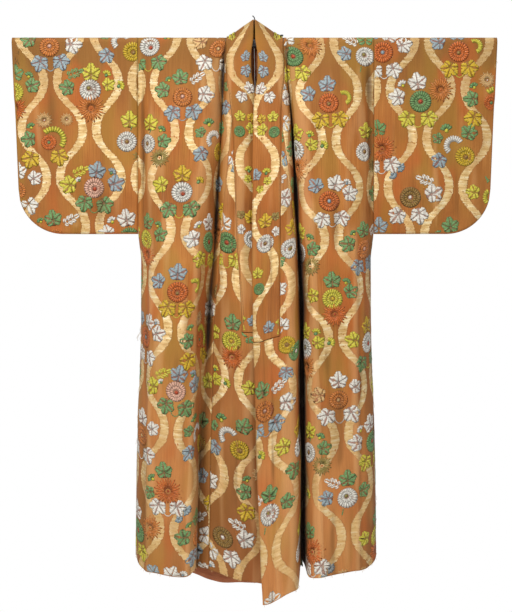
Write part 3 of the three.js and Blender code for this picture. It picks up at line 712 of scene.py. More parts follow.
# ---- meshes -----------------------------------------------------------------------------------
def make_mesh(name, points, faces, material_of, materials, maps=None, colors=None, heights=None):
    """A mesh piece at the origin. Maps, colours and creases' heights are given for its points."""
    mesh = bpy.data.meshes.new(name)
    mesh.from_pydata((points * MM).tolist(), [], faces)
    corner_points = np.empty(len(mesh.loops), dtype=np.int32)
    mesh.loops.foreach_get("vertex_index", corner_points)
    if maps is not None:
        layer = mesh.uv_layers.new(name="drawing")
        layer.data.foreach_set("uv", maps[corner_points].astype(np.float32).ravel())
    if colors is not None:
        layer = mesh.attributes.new(name="silk", type="FLOAT_COLOR", domain="POINT")
        layer.data.foreach_set("color", colors.astype(np.float32).ravel())
    if heights is not None:
        layer = mesh.attributes.new(name="relief", type="FLOAT", domain="POINT")
        layer.data.foreach_set("value", heights.astype(np.float32).ravel())
    for material in materials:
        mesh.materials.append(material)
    mesh.polygons.foreach_set("material_index", np.asarray(material_of, dtype=np.int32))
    mesh.polygons.foreach_set("use_smooth", np.ones(len(mesh.polygons), dtype=bool))
    shape = bmesh.new()
    shape.from_mesh(mesh)
    bmesh.ops.recalc_face_normals(shape, faces=shape.faces)
    shape.to_mesh(mesh)
    shape.free()
    mesh.update()
    piece = bpy.data.objects.new(name, mesh)
    bpy.context.collection.objects.link(piece)
    return piece


EDGE_ROUND = 0.28


def rim_of(flat, corners, held):
    """The sides of the held cells that no other held cell shares, and at each point which way is
    out from them, along the cloth."""
    centre = sum(flat[c] for c in corners) / 4
    padded = np.pad(held, 1)
    beyond = [padded[:-2, 1:-1], padded[1:-1, 2:], padded[2:, 1:-1], padded[1:-1, :-2]]
    outward = np.zeros_like(flat)
    edges = []
    for k in range(4):
        free = held & ~beyond[k]
        start, end = corners[k][free], corners[(k + 1) % 4][free]
        away = unit((flat[start] + flat[end]) / 2 - centre[free])
        np.add.at(outward, start, away)
        np.add.at(outward, end, away)
        edges.append(np.column_stack([start, end]))
    return np.vstack(edges), unit(outward)


def grid_corners(rows, columns):
    """The four corners' numbers for each cell of a grid of points."""
    number = np.arange(rows * columns).reshape(rows, columns)
    return [number[:-1, :-1], number[:-1, 1:], number[1:, 1:], number[1:, :-1]]


def wall(name, surface, a, b, drawing, materials, low=-CLOTH_THICK / 2, high=CLOTH_THICK / 2, held=None):
    """A closed cloth piece through a grid of spots. Held says which of the grid's cells it has."""
    rows, columns = a.shape
    held = np.ones((rows - 1, columns - 1), bool) if held is None else held
    middle, normal = surface.at(a, b)
    flat, normals = middle.reshape(-1, 3), normal.reshape(-1, 3)
    corners = grid_corners(rows, columns)
    edges, outward = rim_of(flat, corners, held)
    upper = flat + normals * high - outward * EDGE_ROUND
    lower = flat + normals * low - outward * EDGE_ROUND
    between = flat + normals * (low + high) / 2
    count = len(flat)
    quads = np.column_stack([c[held] for c in corners])
    start, end = edges[:, 0], edges[:, 1]
    faces = np.vstack([
        quads,
        quads[:, ::-1] + count,
        np.column_stack([end, start, start + 2 * count, end + 2 * count]),
        np.column_stack([end + 2 * count, start + 2 * count, start + count, end + count]),
    ])
    if surface.sign < 0:
        faces = faces[:, ::-1]
    lined = np.zeros(len(faces), int)
    lined[len(quads):2 * len(quads)] = 1
    used = np.unique(faces)
    place = np.zeros(3 * count, int)
    place[used] = np.arange(len(used))
    points = np.vstack([upper, lower, between])[used]
    maps = np.tile(drawing(a, b).reshape(-1, 2), (3, 1))[used]
    heights = np.tile(surface.relief_at(a, b).ravel(), 3)[used]
    return make_mesh(name, points, place[faces].tolist(), lined, materials, maps, heights=heights)


# A sleeve's rows from its foot to the wrist's height, from there to the rod, and half over the
# rod. Its columns are closer together near the cuff.
LOW_ROWS, HIGH_ROWS, OVER_ROWS = 48, 20, 9
SLEEVE_SHARES = np.concatenate([np.linspace(0, 0.78, 42), np.linspace(0.78, 1, 19)[1:]])
LINING_INSET = 2.0
HEM_ROUND = 0.7


def sleeve_skin(side, surface, lift, inset):
    """One skin of a sleeve as a grid of points, from its foot behind over the rod to its foot in
    front, with its places in the drawing and its relief. The inset is from the sewn edges."""
    start, share = SLEEVE_HEAD[side], SLEEVE_SHARES[None, :]
    foot = sleeve_bottom(mix(start, CUFF_X - SLEEVE_TAPER, share))
    low_rows = mix(foot + inset, -CUFF_DROP, np.linspace(0, 1, LOW_ROWS + 1)[:, None])
    high_rows = mix(-CUFF_DROP, 0, np.linspace(0, 1, HIGH_ROWS + 1)[1:, None]) + 0 * share
    z = np.vstack([low_rows, high_rows])
    below_wrist = z < -CUFF_DROP - 1e-6
    hung = (sleeve_end(z) - start - below_wrist * inset) * share
    reach = FOLD_ARC - z
    arc = np.linspace(-FOLD_ARC, FOLD_ARC, 2 * OVER_ROWS + 1)[1:-1, None] + 0 * share
    over = (CUFF_X - start) * share + 0 * arc
    outs = np.vstack([hung, over, hung[::-1]])
    runs = np.vstack([-reach, arc, reach[::-1]])
    points, _ = surface.at(outs, runs, np.full(outs.shape, lift))
    return points, sleeve_pattern(side)(outs, runs), surface.relief_at(outs, runs)


def strip(p, q):
    """The quads between two rows of points."""
    return np.column_stack([p[:-1], p[1:], q[1:], q[:-1]])


def sleeve_wall(name, side, materials):
    """A sleeve: an outer and an inner skin, folded over the rod, sewn below and up its outer edge,
    and open at the armhole and at the wrist."""
    surface = sleeve_surface(side)
    outer, outer_map, outer_relief = sleeve_skin(side, surface, CLOTH_THICK / 2, 0.0)
    inner, inner_map, inner_relief = sleeve_skin(side, surface, -CLOTH_THICK / 2, LINING_INSET)
    rows, columns, _ = outer.shape
    count, last = rows * columns, columns - 1
    number = np.arange(count).reshape(rows, columns)
    quads = np.column_stack([c.ravel() for c in grid_corners(rows, columns)])
    # The outer skin's two layers meet in a hem, along the foot and up to the wrist.
    up = slice(1, LOW_ROWS + 1)
    back_edge = np.concatenate([number[0], number[up, last]])
    front_edge = np.concatenate([number[-1], number[::-1][up, last]])
    beside = np.concatenate([number[1], number[up, last - 1]])
    flat = outer.reshape(-1, 3)
    hem = (flat[back_edge] + flat[front_edge]) / 2
    hem = hem + unit((hem - flat[beside]) * np.array([1.0, 0.0, 1.0])) * HEM_ROUND
    hem_number = 2 * count + np.arange(len(hem))
    wrist = number[LOW_ROWS:rows - LOW_ROWS, last]
    faces = np.vstack([
        quads,
        quads[:, ::-1] + count,
        strip(number[:, 0], number[:, 0] + count)[:, ::-1],
        strip(wrist, wrist + count),
        strip(front_edge, hem_number),
        strip(hem_number, back_edge),
        strip(back_edge + count, front_edge + count),
    ]).tolist()
    # A five-sided face closes each end of the hem.
    for end, way_round in ((0, -1), (-1, 1)):
        front, back = front_edge[end], back_edge[end]
        faces.append([front, hem_number[end], back, back + count, front + count][::way_round])
    if surface.sign < 0:
        faces = [face[::-1] for face in faces]
    lined = np.zeros(len(faces), int)
    lined[len(quads):2 * len(quads)] = 1
    points = np.vstack([flat, inner.reshape(-1, 3), hem])
    flat_map = outer_map.reshape(-1, 2)
    maps = np.vstack([flat_map, inner_map.reshape(-1, 2), flat_map[back_edge]])
    heights = np.concatenate([outer_relief.ravel(), inner_relief.ravel(), np.zeros(len(hem))])
    return make_mesh(name, points, faces, lined, materials, maps, heights=heights)


# ---- materials --------------------------------------------------------------------------------
def tone(red, green, blue):
    """A colour given as it looks on a screen, 0 to 255."""
    values = np.array([red, green, blue]) / 255
    linear = np.where(values <= 0.04045, values / 12.92, ((values + 0.055) / 1.055) ** 2.4)
    return (*linear.tolist(), 1.0)


class Nodes:
    """Short ways to add nodes to one tree and link them. A value is a socket or a number."""

    def __init__(self, tree):
        self.tree = tree

    def node(self, kind, inputs=None, **settings):
        node = self.tree.nodes.new(kind)
        for key, value in settings.items():
            setattr(node, key, value)
        for key, value in (inputs or {}).items():
            self.feed(node.inputs[key], value)
        return node

    def feed(self, socket, value):
        if isinstance(value, bpy.types.NodeSocket):
            self.tree.links.new(value, socket)
        elif value is not None:
            socket.default_value = value

    def math(self, operation, a, b=None, c=None):
        node = self.node("ShaderNodeMath", operation=operation)
        for socket, value in zip(node.inputs, (a, b, c)):
            self.feed(socket, value)
        return node.outputs[0]

    def between(self, value, low, high, to_low=0.0, to_high=1.0):
        inputs = {"Value": value, "From Min": low, "From Max": high, "To Min": to_low, "To Max": to_high}
        return self.node("ShaderNodeMapRange", inputs, interpolation_type="SMOOTHSTEP").outputs["Result"]

    def blend(self, share, a, b):
        node = self.node("ShaderNodeMix", data_type="RGBA", blend_type="MIX")
        for socket, value in ((node.inputs[0], share), (node.inputs[6], a), (node.inputs[7], b)):
            self.feed(socket, value)
        return node.outputs[2]

    def noise(self, vector, scale, detail=2.0, roughness=0.5):
        inputs = {"Vector": vector, "Scale": scale, "Detail": detail, "Roughness": roughness}
        return self.node("ShaderNodeTexNoise", inputs).outputs["Fac"]

    def scaled(self, vector, factors):
        node = self.node("ShaderNodeVectorMath", {0: vector, 1: factors}, operation="MULTIPLY")
        return node.outputs["Vector"]

    def ramp(self, value, stops):
        node = self.node("ShaderNodeValToRGB", {"Fac": value})
        elements = node.color_ramp.elements
        while len(elements) < len(stops):
            elements.new(0.5)
        for element, (place, colour) in zip(elements, stops):
            element.position, element.color = place, colour
        return node.outputs["Color"]


def new_group(name, inputs, outputs):
    """An empty node group with its sockets. Each is a name and a socket kind."""
    tree = bpy.data.node_groups.new(name, "ShaderNodeTree")
    for direction, rows in (("INPUT", inputs), ("OUTPUT", outputs)):
        for label, kind in rows:
            tree.interface.new_socket(label, in_out=direction, socket_type=kind)
    source = tree.nodes.new("NodeGroupInput")
    target = tree.nodes.new("NodeGroupOutput")
    return Nodes(tree), source.outputs, target.inputs


VECTOR, FLOAT = "NodeSocketVector", "NodeSocketFloat"
# The gold lines, in line pitches: how far each swings, its shape, its half width, how its edge
# jumps from row to row, wanders and is softened, and how far its dark rim reaches.
BAND_SWING = 0.336
BAND_SHARPER = 0.05
BAND_HALF = 0.114
LINE_JITTER, LINE_WANDER, LINE_SOFT, LINE_RIM = 0.022, 0.045, 0.006, 0.03
ROWS_PER_REPEAT = 84.0


def lines_group():
    """Where the gold lines run: a mask, from a place in the drawing. Neighbouring lines swing
    opposite ways, in steps, as the figured rows of the cloth make them."""
    n, given, out = new_group("gold_lines", [("Drawing", VECTOR)], [("Mask", FLOAT), ("Edge", FLOAT)])
    parts = n.node("ShaderNodeSeparateXYZ", {"Vector": given["Drawing"]})
    row = n.math("FLOOR", n.math("MULTIPLY", parts.outputs["Y"], ROWS_PER_REPEAT))
    angle = n.math("MULTIPLY", row, 2 * math.pi / ROWS_PER_REPEAT)
    third = n.math("COSINE", n.math("MULTIPLY", angle, 3.0))
    swing = n.math("MULTIPLY_ADD", third, -BAND_SHARPER, n.math("COSINE", angle))
    swing = n.math("MULTIPLY", swing, BAND_SWING)
    stepped = n.node("ShaderNodeCombineXYZ", {"X": n.math("ROUND", parts.outputs["X"]), "Y": row})
    jitter = n.node("ShaderNodeTexWhiteNoise", {"Vector": stepped.outputs[0]}, noise_dimensions="3D")
    worn = n.noise(n.scaled(given["Drawing"], (9.0, 60.0, 1.0)), 1.0, 1.0)
    shift = n.math("MULTIPLY_ADD", n.math("SUBTRACT", jitter.outputs["Value"], 0.5), LINE_JITTER,
                   n.math("MULTIPLY", n.math("SUBTRACT", worn, 0.5), LINE_WANDER))
    near = []
    for direction, offset in ((-1.0, 1.0), (1.0, 0.0)):
        moved = n.math("MULTIPLY_ADD", swing, direction, parts.outputs["X"])
        wrapped = n.math("FLOORED_MODULO", n.math("ADD", moved, offset), 2.0)
        near.append(n.math("ABSOLUTE", n.math("SUBTRACT", wrapped, 1.0)))
    distance = n.math("ADD", n.math("MINIMUM", *near), shift)
    n.feed(out["Mask"], n.between(distance, BAND_HALF + LINE_SOFT, BAND_HALF - LINE_SOFT))
    n.feed(out["Edge"], n.between(distance, BAND_HALF + LINE_RIM, BAND_HALF))
    return n.tree


def weave_group():
    """The height of the threads: a fine twill, and thicker wefts that lie across it."""
    n, given, out = new_group("threads", [("Drawing", VECTOR)], [("Height", FLOAT), ("Weft", FLOAT)])
    parts = n.node("ShaderNodeSeparateXYZ", {"Vector": given["Drawing"]})
    across = n.math("MULTIPLY", parts.outputs["X"], LINE_PITCH)
    along = n.math("MULTIPLY", parts.outputs["Y"], BODY_REPEAT)
    twill = n.math("SINE", n.math("MULTIPLY", n.math("ADD", across, n.math("MULTIPLY", along, 1.6)), 4.2))
    wobble = n.math("MULTIPLY", n.noise(n.scaled(given["Drawing"], (22.0, 9.0, 1.0)), 1.0, 1.0), 5.0)
    weft = n.math("SINE", n.math("ADD", n.math("MULTIPLY", along, 3.6), wobble))
    n.feed(out["Height"], n.math("MULTIPLY_ADD", twill, 0.35, n.math("MULTIPLY", weft, 0.65)))
    n.feed(out["Weft"], n.between(weft, -1.0, 1.0))
    return n.tree


def folds_group():
    """How strongly painted shade darkens a place, from how far its cloth stands out: a little in every
    hollow, unevenly, and nearly fully, as a painted shadow, at the bottom of a deep fold."""
    sockets = [("Relief", FLOAT), ("Place", VECTOR)]
    n, given, out = new_group("fold_shade", sockets, [("PaintedShade", FLOAT), ("PaintedShadow", FLOAT)])
    patchy = n.noise(n.scaled(given["Place"], (14.0, 14.0, 5.0)), 1.0, 3.0, 0.6)
    hollow = n.between(given["Relief"], -0.9, -4.6)
    n.feed(out["PaintedShade"], n.math("MULTIPLY", hollow, n.between(patchy, 0.3, 0.62, 0.4, 0.78)))
    n.feed(out["PaintedShadow"], n.math("MULTIPLY", n.between(given["Relief"], -4.0, -8.5), 0.92))
    return n.tree


GOLD_LINES, THREADS, FOLD_SHADE = lines_group(), weave_group(), folds_group()


def new_material(name):
    material = bpy.data.materials.new(name)
    material.use_nodes = True
    n = Nodes(material.node_tree)
    shader = next(node for node in n.tree.nodes if node.type == "BSDF_PRINCIPLED")
    return material, n, shader


def add_group(n, tree, **given):
    node = n.tree.nodes.new("ShaderNodeGroup")
    node.node_tree = tree
    for name, value in given.items():
        n.feed(node.inputs[name], value)
    return node.outputs


def shaded(n, colour, place):
    """A colour with the painted shade and the painted shadow of the folds over it."""
    relief_map = n.node("ShaderNodeAttribute", attribute_name="relief").outputs["Fac"]
    folds = add_group(n, FOLD_SHADE, Relief=relief_map, Place=place)
    # Painted shade in every hollow, and a near-black painted shadow at the bottom of deep folds.
    colour = n.blend(folds["PaintedShade"], colour, tone(98, 64, 22))
    return n.blend(folds["PaintedShadow"], colour, tone(22, 12, 8)), relief_map


# How the ground has aged in patches: how fine each kind of patch is up the cloth against across
# it, how fine altogether and how rough, between which values it comes in, and how strong it is.
GROUND_PATCHES = (
    ("faded", 0.6, 7.0, 0.5, (0.52, 0.68), 0.45, (176, 132, 56)),
    ("browned", 0.3, 6.5, 0.5, (0.48, 0.64), 0.55, (148, 94, 42)),
    ("flushed", 0.5, 9.0, 0.4, (0.52, 0.66), 0.5, (194, 96, 40)),
    ("olived", 0.22, 11.0, 0.5, (0.5, 0.66), 0.5, (160, 122, 44)),
)
DULLED_GOLD = (("dulled", 0.7, 8.0, 0.6, (0.48, 0.62), 0.5, (204, 158, 92)),)


def patched(n, colour, place, patches):
    """A colour with patches of other colours over it."""
    for _, upright, fine, rough, (low, high), strength, over in patches:
        patch = n.between(n.noise(n.scaled(place, (1.0, 1.0, upright)), fine, 2.0, rough), low, high)
        colour = n.blend(n.math("MULTIPLY", patch, strength), colour, tone(*over))
    return colour


def ground_colour(n, drawing, place):
    """Orange silk, streaked down the warp, browner where it has aged. Also where it has aged and
    where it is paler."""
    broad = n.noise(place, 5.0, 3.0)
    streaks = n.noise(n.scaled(drawing, (75.0, 2.2, 1.0)), 1.0, 3.0, 0.6)
    ground = n.ramp(n.math("MULTIPLY_ADD", streaks, 0.55, n.math("MULTIPLY", broad, 0.5)), [
        (0.32, tone(126, 70, 28)),
        (0.47, tone(170, 102, 44)),
        (0.61, tone(194, 124, 58)),
        (0.76, tone(214, 148, 80)),
    ])
    spot = n.node("ShaderNodeSeparateXYZ", {"Vector": place}).outputs
    top = n.between(n.math("ADD", spot["Z"], n.math("MULTIPLY", broad, 0.14)), -0.16, 0.06)
    outer = n.between(n.math("ABSOLUTE", spot["X"]), 0.42, 0.74)
    aged = n.math("MINIMUM", n.math("MULTIPLY_ADD", top, 0.85, n.math("MULTIPLY", outer, 0.45)), 1.0)
    ground = n.blend(n.math("MULTIPLY", aged, 0.75), ground, tone(124, 88, 36))
    paler = n.between(spot["Z"], -0.7, -1.4)
    ground = n.blend(n.math("MULTIPLY", paler, 0.5), ground, tone(216, 146, 88))
    ground = patched(n, ground, place, GROUND_PATCHES)
    # Far back between the lower folds shade is painted over it, browner.
    behind = n.math("MULTIPLY", n.between(spot["Y"], -0.1, -0.05), paler)
    return n.blend(n.math("MULTIPLY", behind, 0.75), ground, tone(138, 84, 40)), aged, paler


def gold_colour(n, drawing, place, aged, paler):
    """Flat gold strips laid across, bright and dull by turns as a painted glint, their reflections painted
    into the colour.
    """
    strips = n.noise(n.scaled(drawing, (2.6, 260.0, 1.0)), 1.0, 2.0, 0.7)
    flats = n.noise(n.scaled(drawing, (2.2, 30.0, 1.0)), 1.0, 2.0, 0.5)
    glint = n.ramp(n.math("MULTIPLY_ADD", strips, 0.5, n.math("MULTIPLY", flats, 0.5)), [
        (0.34, tone(172, 124, 60)),
        (0.44, tone(220, 178, 106)),
        (0.53, tone(242, 210, 146)),
        (0.62, tone(255, 244, 204)),
    ])
    glint = patched(n, glint, place, DULLED_GOLD)
    glint = n.blend(n.math("MULTIPLY", paler, 0.4), glint, tone(206, 160, 92))
    return n.blend(n.math("MULTIPLY", aged, 0.55), glint, tone(176, 138, 80))


def gold_kept(n, mask, drawing):
    """Where the gold hasn't worn away."""
    worn = n.noise(n.scaled(drawing, (12.0, 26.0, 1.0)), 1.0, 3.0, 0.65)
    kept = n.math("MULTIPLY", mask, n.between(worn, 0.34, 0.4))
    hair = n.noise(n.scaled(drawing, (7.0, 420.0, 1.0)), 1.0, 1.0)
    return n.math("MULTIPLY", kept, n.between(hair, 0.3, 0.38))


def brocade_material():
    material, n, shader = new_material("brocade")
    drawing = n.node("ShaderNodeUVMap", uv_map="drawing").outputs["UV"]
    place = n.node("ShaderNodeTexCoord").outputs["Object"]
    gold, threads = add_group(n, GOLD_LINES, Drawing=drawing), add_group(n, THREADS, Drawing=drawing)
    ground, aged, paler = ground_colour(n, drawing, place)
    kept = gold_kept(n, gold["Mask"], drawing)
    colour = n.blend(kept, ground, gold_colour(n, drawing, place, aged, paler))
    dark_edge = n.math("MULTIPLY", n.math("SUBTRACT", gold["Edge"], gold["Mask"]), 0.35)
    colour = n.blend(n.math("MAXIMUM", dark_edge, 0.0), colour, tone(96, 52, 28))
    # Shade is painted in the folds, and a highlight is painted on their crests.
    colour, relief_map = shaded(n, colour, place)
    crest = n.math("MULTIPLY", n.between(relief_map, 1.2, 4.0), 0.3)
    colour = n.blend(crest, colour, tone(236, 184, 124))
    # Painted shade between the weft threads.
    painted_thread_shade = n.math("MULTIPLY_ADD", threads["Weft"], -0.22, 0.22)
    n.feed(shader.inputs["Base Color"], n.blend(painted_thread_shade, colour, tone(70, 34, 18)))
    n.feed(shader.inputs["Metallic"], n.math("MULTIPLY", kept, 0.25))
    n.feed(shader.inputs["Roughness"], n.math("MULTIPLY_ADD", kept, -0.2, 0.66))
    n.feed(shader.inputs["Specular IOR Level"], n.math("MULTIPLY_ADD", kept, 0.4, 0.2))
    shader.inputs["Sheen Weight"].default_value = 0.03
    raised = n.math("MULTIPLY_ADD", kept, 1.2, threads["Height"])
    bump = n.node("ShaderNodeBump", {"Height": raised, "Strength": 0.45, "Distance": 0.00035})
    n.feed(shader.inputs["Normal"], bump.outputs["Normal"])
    return material


def silk_material():
    """The glossy floss of the flowers and leaves, in the colour that each one carries."""
    material, n, shader = new_material("silk_floss")
    dye = n.node("ShaderNodeAttribute", attribute_name="silk").outputs["Color"]
    drawing = n.node("ShaderNodeUVMap", uv_map="drawing").outputs["UV"]
    threads = add_group(n, THREADS, Drawing=drawing)
    uneven = n.noise(n.scaled(drawing, (14.0, 150.0, 1.0)), 1.0, 2.0)
    dark = n.blend(0.55, dye, tone(60, 36, 24))
    pale = n.blend(0.3, dye, tone(250, 240, 220))
    colour = n.blend(n.between(uneven, 0.3, 0.55), dark, dye)
    colour = n.blend(n.between(uneven, 0.55, 0.8), colour, pale)
    # The folds' painted shade and painted shadow over the floss too.
    colour, _ = shaded(n, colour, n.node("ShaderNodeTexCoord").outputs["Object"])
    n.feed(shader.inputs["Base Color"], colour)
    shader.inputs["Roughness"].default_value = 0.5
    shader.inputs["Specular IOR Level"].default_value = 0.3
    shader.inputs["Sheen Weight"].default_value = 0.03
    bump = n.node("ShaderNodeBump", {"Height": threads["Weft"], "Strength": 0.5, "Distance": 0.0004})
    n.feed(shader.inputs["Normal"], bump.outputs["Normal"])
    return material


def lining_material():
    material, n, shader = new_material("lining")
    drawing = n.node("ShaderNodeUVMap", uv_map="drawing").outputs["UV"]
    place = n.node("ShaderNodeTexCoord").outputs["Object"]
    threads = add_group(n, THREADS, Drawing=drawing)
    slubs = n.noise(n.scaled(drawing, (6.0, 170.0, 1.0)), 1.0, 3.0)
    colour = n.ramp(n.math("MULTIPLY_ADD", slubs, 0.6, n.math("MULTIPLY", n.noise(place, 7.0), 0.4)), [
        (0.35, tone(146, 76, 38)), (0.52, tone(176, 98, 50)), (0.7, tone(196, 120, 66)),
    ])
    n.feed(shader.inputs["Base Color"], colour)
    shader.inputs["Roughness"].default_value = 0.55
    shader.inputs["Sheen Weight"].default_value = 0.1
    bump = n.node("ShaderNodeBump", {"Height": threads["Height"], "Strength": 0.3, "Distance": 0.0002})
    n.feed(shader.inputs["Normal"], bump.outputs["Normal"])
    return material


def lacquer_material():
    material, n, shader = new_material("black_lacquer")
    place = n.node("ShaderNodeTexCoord").outputs["Object"]
    smudge = n.noise(place, 34.0, 4.0, 0.6)
    n.feed(shader.inputs["Base Color"], n.ramp(smudge, [(0.35, tone(20, 16, 15)), (0.7, tone(34, 27, 24))]))
    n.feed(shader.inputs["Roughness"], n.between(smudge, 0.3, 0.75, 0.22, 0.42))
    shader.inputs["Coat Weight"].default_value = 0.5
    shader.inputs["Coat Roughness"].default_value = 0.12
    ripple = n.noise(n.scaled(place, (18.0, 90.0, 90.0)), 1.0, 2.0)
    bump = n.node("ShaderNodeBump", {"Height": ripple, "Strength": 0.12, "Distance": 0.0006})
    n.feed(shader.inputs["Normal"], bump.outputs["Normal"])
    return material


BROCADE, SILK = brocade_material(), silk_material()
LINING, LACQUER = lining_material(), lacquer_material()

# ---- the camera -------------------------------------------------------------------------------
SENSOR_MM = 36.0
CAMERA_DISTANCE = 4.6
FIELD_WIDTH = 1.7748
AIM_X, AIM_Z = 0.00435, -0.76125
camera_data = bpy.data.cameras.new("camera")
camera_data.sensor_fit = "AUTO"
camera_data.sensor_width = SENSOR_MM
camera_data.lens = SENSOR_MM * CAMERA_DISTANCE / FIELD_WIDTH
camera_data.clip_end = 30.0
camera = bpy.data.objects.new("camera", camera_data)
camera.location = (AIM_X, -CAMERA_DISTANCE, AIM_Z)
camera.rotation_euler = (math.pi / 2, 0.0, 0.0)
bpy.context.collection.objects.link(camera)
bpy.context.scene.camera = camera

# ---- the cloth --------------------------------------------------------------------------------
SURFACES = {f"front_{side}": front_surface(side) for side in (1, -1)}
BACK, BAND = back_surface(), band_surface()
WEARER = {1: "left", -1: "right"}
FOLD_DOWNS = np.concatenate([[SEAM_GAP / 2], np.linspace(3, FOLD_ARC, 8), [28, 32, 37, 43]])
DOWN_STEP, BACK_DOWN_STEP = 8.0, 12.0
# How many points each piece has across it. The overlap's are those beside the neckband's place,
# and those that it has more below the neckband.
COLUMNS = {"front": 63, "overlap": 19, "overlap below": 16, "back": 46, "neckband": 15, "facing": 80}
OVERLAP_TIP_CUT = 6


def downs_between(start, end, step=DOWN_STEP, exact=()):
    """Rows down the cloth, closer together round the rod, with the exact ones among them."""
    plain = np.arange(50.0, BODY_LENGTH, step)
    rows = np.concatenate([FOLD_DOWNS, plain])
    marks = np.array([start, end, *exact], float)
    rows = rows[(rows > start) & (rows < end)]
    far = np.min(np.abs(rows[:, None] - marks[None, :]), axis=1) > step * 0.3
    return np.sort(np.concatenate([rows[far], marks]))


def front_piece(side):
    downs = downs_between(SEAM_GAP / 2, BODY_LENGTH, exact=(OVERLAP_TIP_DROP, BAND_DROP))[:, None]
    share = np.linspace(0, 1, COLUMNS["front"])[None, :]
    across = mix(body_seam_at(downs) + SEAM_GAP / 2, front_width(downs), share)
    return wall(f"visual_front_{WEARER[side]}", SURFACES[f"front_{side}"], across, downs + 0 * share,
                front_pattern(side), [BROCADE, LINING])


def overlap_piece(side):
    start = OVERLAP_TIP_DROP + OVERLAP_TIP_CUT
    downs = downs_between(start, BODY_LENGTH, exact=(BAND_DROP - SEAM_GAP, BAND_DROP + SEAM_GAP))
    beside = np.linspace(0, 1, COLUMNS["overlap"])[None, :]
    below = np.linspace(0, 1, COLUMNS["overlap below"])[None, :-1]
    column = downs[:, None]
    outer = mix(BAND_WIDTH, body_seam_at(column), beside) + SEAM_GAP * (0.5 - beside)
    across = np.hstack([below * BAND_WIDTH + 0 * column, outer])
    held = np.ones((len(downs) - 1, across.shape[1] - 1), bool)
    held[downs[:-1] < BAND_DROP, :below.shape[1]] = False
    return wall(f"visual_overlap_{WEARER[side]}", SURFACES[f"front_{side}"], across, column + 0 * across,
                overlap_pattern(side), [BROCADE, LINING], held=held)


def back_piece(side):
    downs = downs_between(SEAM_GAP / 2, BODY_LENGTH, step=BACK_DOWN_STEP)[:, None]
    across = np.linspace(SEAM_GAP / 2, PANEL_WIDTH, COLUMNS["back"])[None, :]
    dip = neck_dip(across) * (1 - np.clip(downs / OVERLAP_TIP_DROP, 0, 1))
    return wall(f"visual_back_{WEARER[side]}", BACK, side * across + 0 * downs, downs + dip,
                back_pattern(side), [BROCADE, LINING])


def band_piece():
    half = np.concatenate([
        np.linspace(0, NECK_HALF, 15)[1:],
        NECK_HALF + downs_between(SEAM_GAP, BAND_DROP - SEAM_GAP - 1),
    ])
    stations = np.concatenate([-half[::-1], [0], half])[:, None]
    ups = np.linspace(0, 1, COLUMNS["neckband"])[None, :]
    return wall("visual_neckband", BAND, ups + 0 * stations, stations + 0 * ups, band_pattern,
                [BROCADE, BROCADE], low=-BAND_THICK / 2, high=BAND_THICK / 2)


# The facing's thickness, how far it reaches up from the hem, and how far it stays clear of the
# hem and of the side seams.
FACING_THICK, FACING_TALL, FACING_SHORT, FACING_INSET = 1.0, 250.0, 3.0, 29.0


def facing_piece():
    downs = np.linspace(BODY_LENGTH - FACING_TALL, BODY_LENGTH - FACING_SHORT, 22)[:, None]
    reach = PANEL_WIDTH - FACING_INSET
    across = np.linspace(-reach, reach, COLUMNS["facing"])[None, :]
    near = -CLOTH_THICK / 2 - SEAM_GAP
    return wall("visual_hem_facing", BACK, across + 0 * downs, downs + 0 * across, back_pattern(1),
                [LINING, LINING], low=near - FACING_THICK, high=near)


pieces = {}
for side in (1, -1):
    wearer = WEARER[side]
    pieces[f"front_{wearer}"] = front_piece(side)
    pieces[f"overlap_{wearer}"] = overlap_piece(side)
    pieces[f"back_{wearer}"] = back_piece(side)
    pieces[f"sleeve_{wearer}"] = sleeve_wall(f"visual_sleeve_{wearer}", side, [BROCADE, LINING])
pieces["neckband"] = band_piece()
pieces["hem_facing"] = facing_piece()

# ---- the raised silk flowers ------------------------------------------------------------------
SILKS = {
    "white": (226, 221, 208), "mustard": (206, 170, 34), "lime": (206, 194, 60), "green": (108, 148, 88),
    "blue": (148, 164, 168), "orange": (208, 106, 38), "brown": (150, 116, 54), "olive": (150, 132, 64),
    "pink": (226, 176, 150), "faint": (206, 122, 50), "red": (186, 72, 34), "pale": (214, 172, 112),
    "dusky": (70, 72, 46),
}
# How high the silk stands over the cloth at a shape's rim and at its middle, and how deep its
# root lies in it. Flatter silk lies under the petals and the lobes, and shows between them.
FLOAT_RIM, FLOAT_CROWN, FLOAT_ROOT = 0.28, 0.5, -0.45
UNDER_RIM, UNDER_CROWN = 0.08, 0.22
# The under silk's colour where it shows between the petals and lobes: partly the ground's own brown, partly
# painted shade between them.
UNDER_DYE_AND_SHADE = np.array(tone(140, 68, 32)[:3])
UNDER_SHARE = 0.75
# Broad parts have rings of points inside their edge, to follow the cloth round its folds.
PART_RINGS = {"under": (1.0, 0.68, 0.34), "leaf": (1.0, 0.5)}
TINT_SPREAD = 0.07
SEAM_CLEAR = 1.5
DICE = np.random.default_rng(11)


def turned_by(points, degrees):
    """Points in a plane turned clockwise on the cloth, whose second axis runs down."""
    turn = math.radians(degrees)
    return points @ np.array([[math.cos(turn), math.sin(turn)], [-math.sin(turn), math.cos(turn)]])


def petal(angle, start, end, wide):
    """A rounded float that leads away from the middle, narrower at its root."""
    reach = start + (end - start) * np.array([0, 0.3, 0.72, 0.93])
    half = np.array([0.3, 0.46, 0.5, 0.36]) * wide
    above, below = np.column_stack([reach, half]), np.column_stack([reach, -half])[::-1]
    return turned_by(np.vstack([above, [[end, 0]], below]), angle)


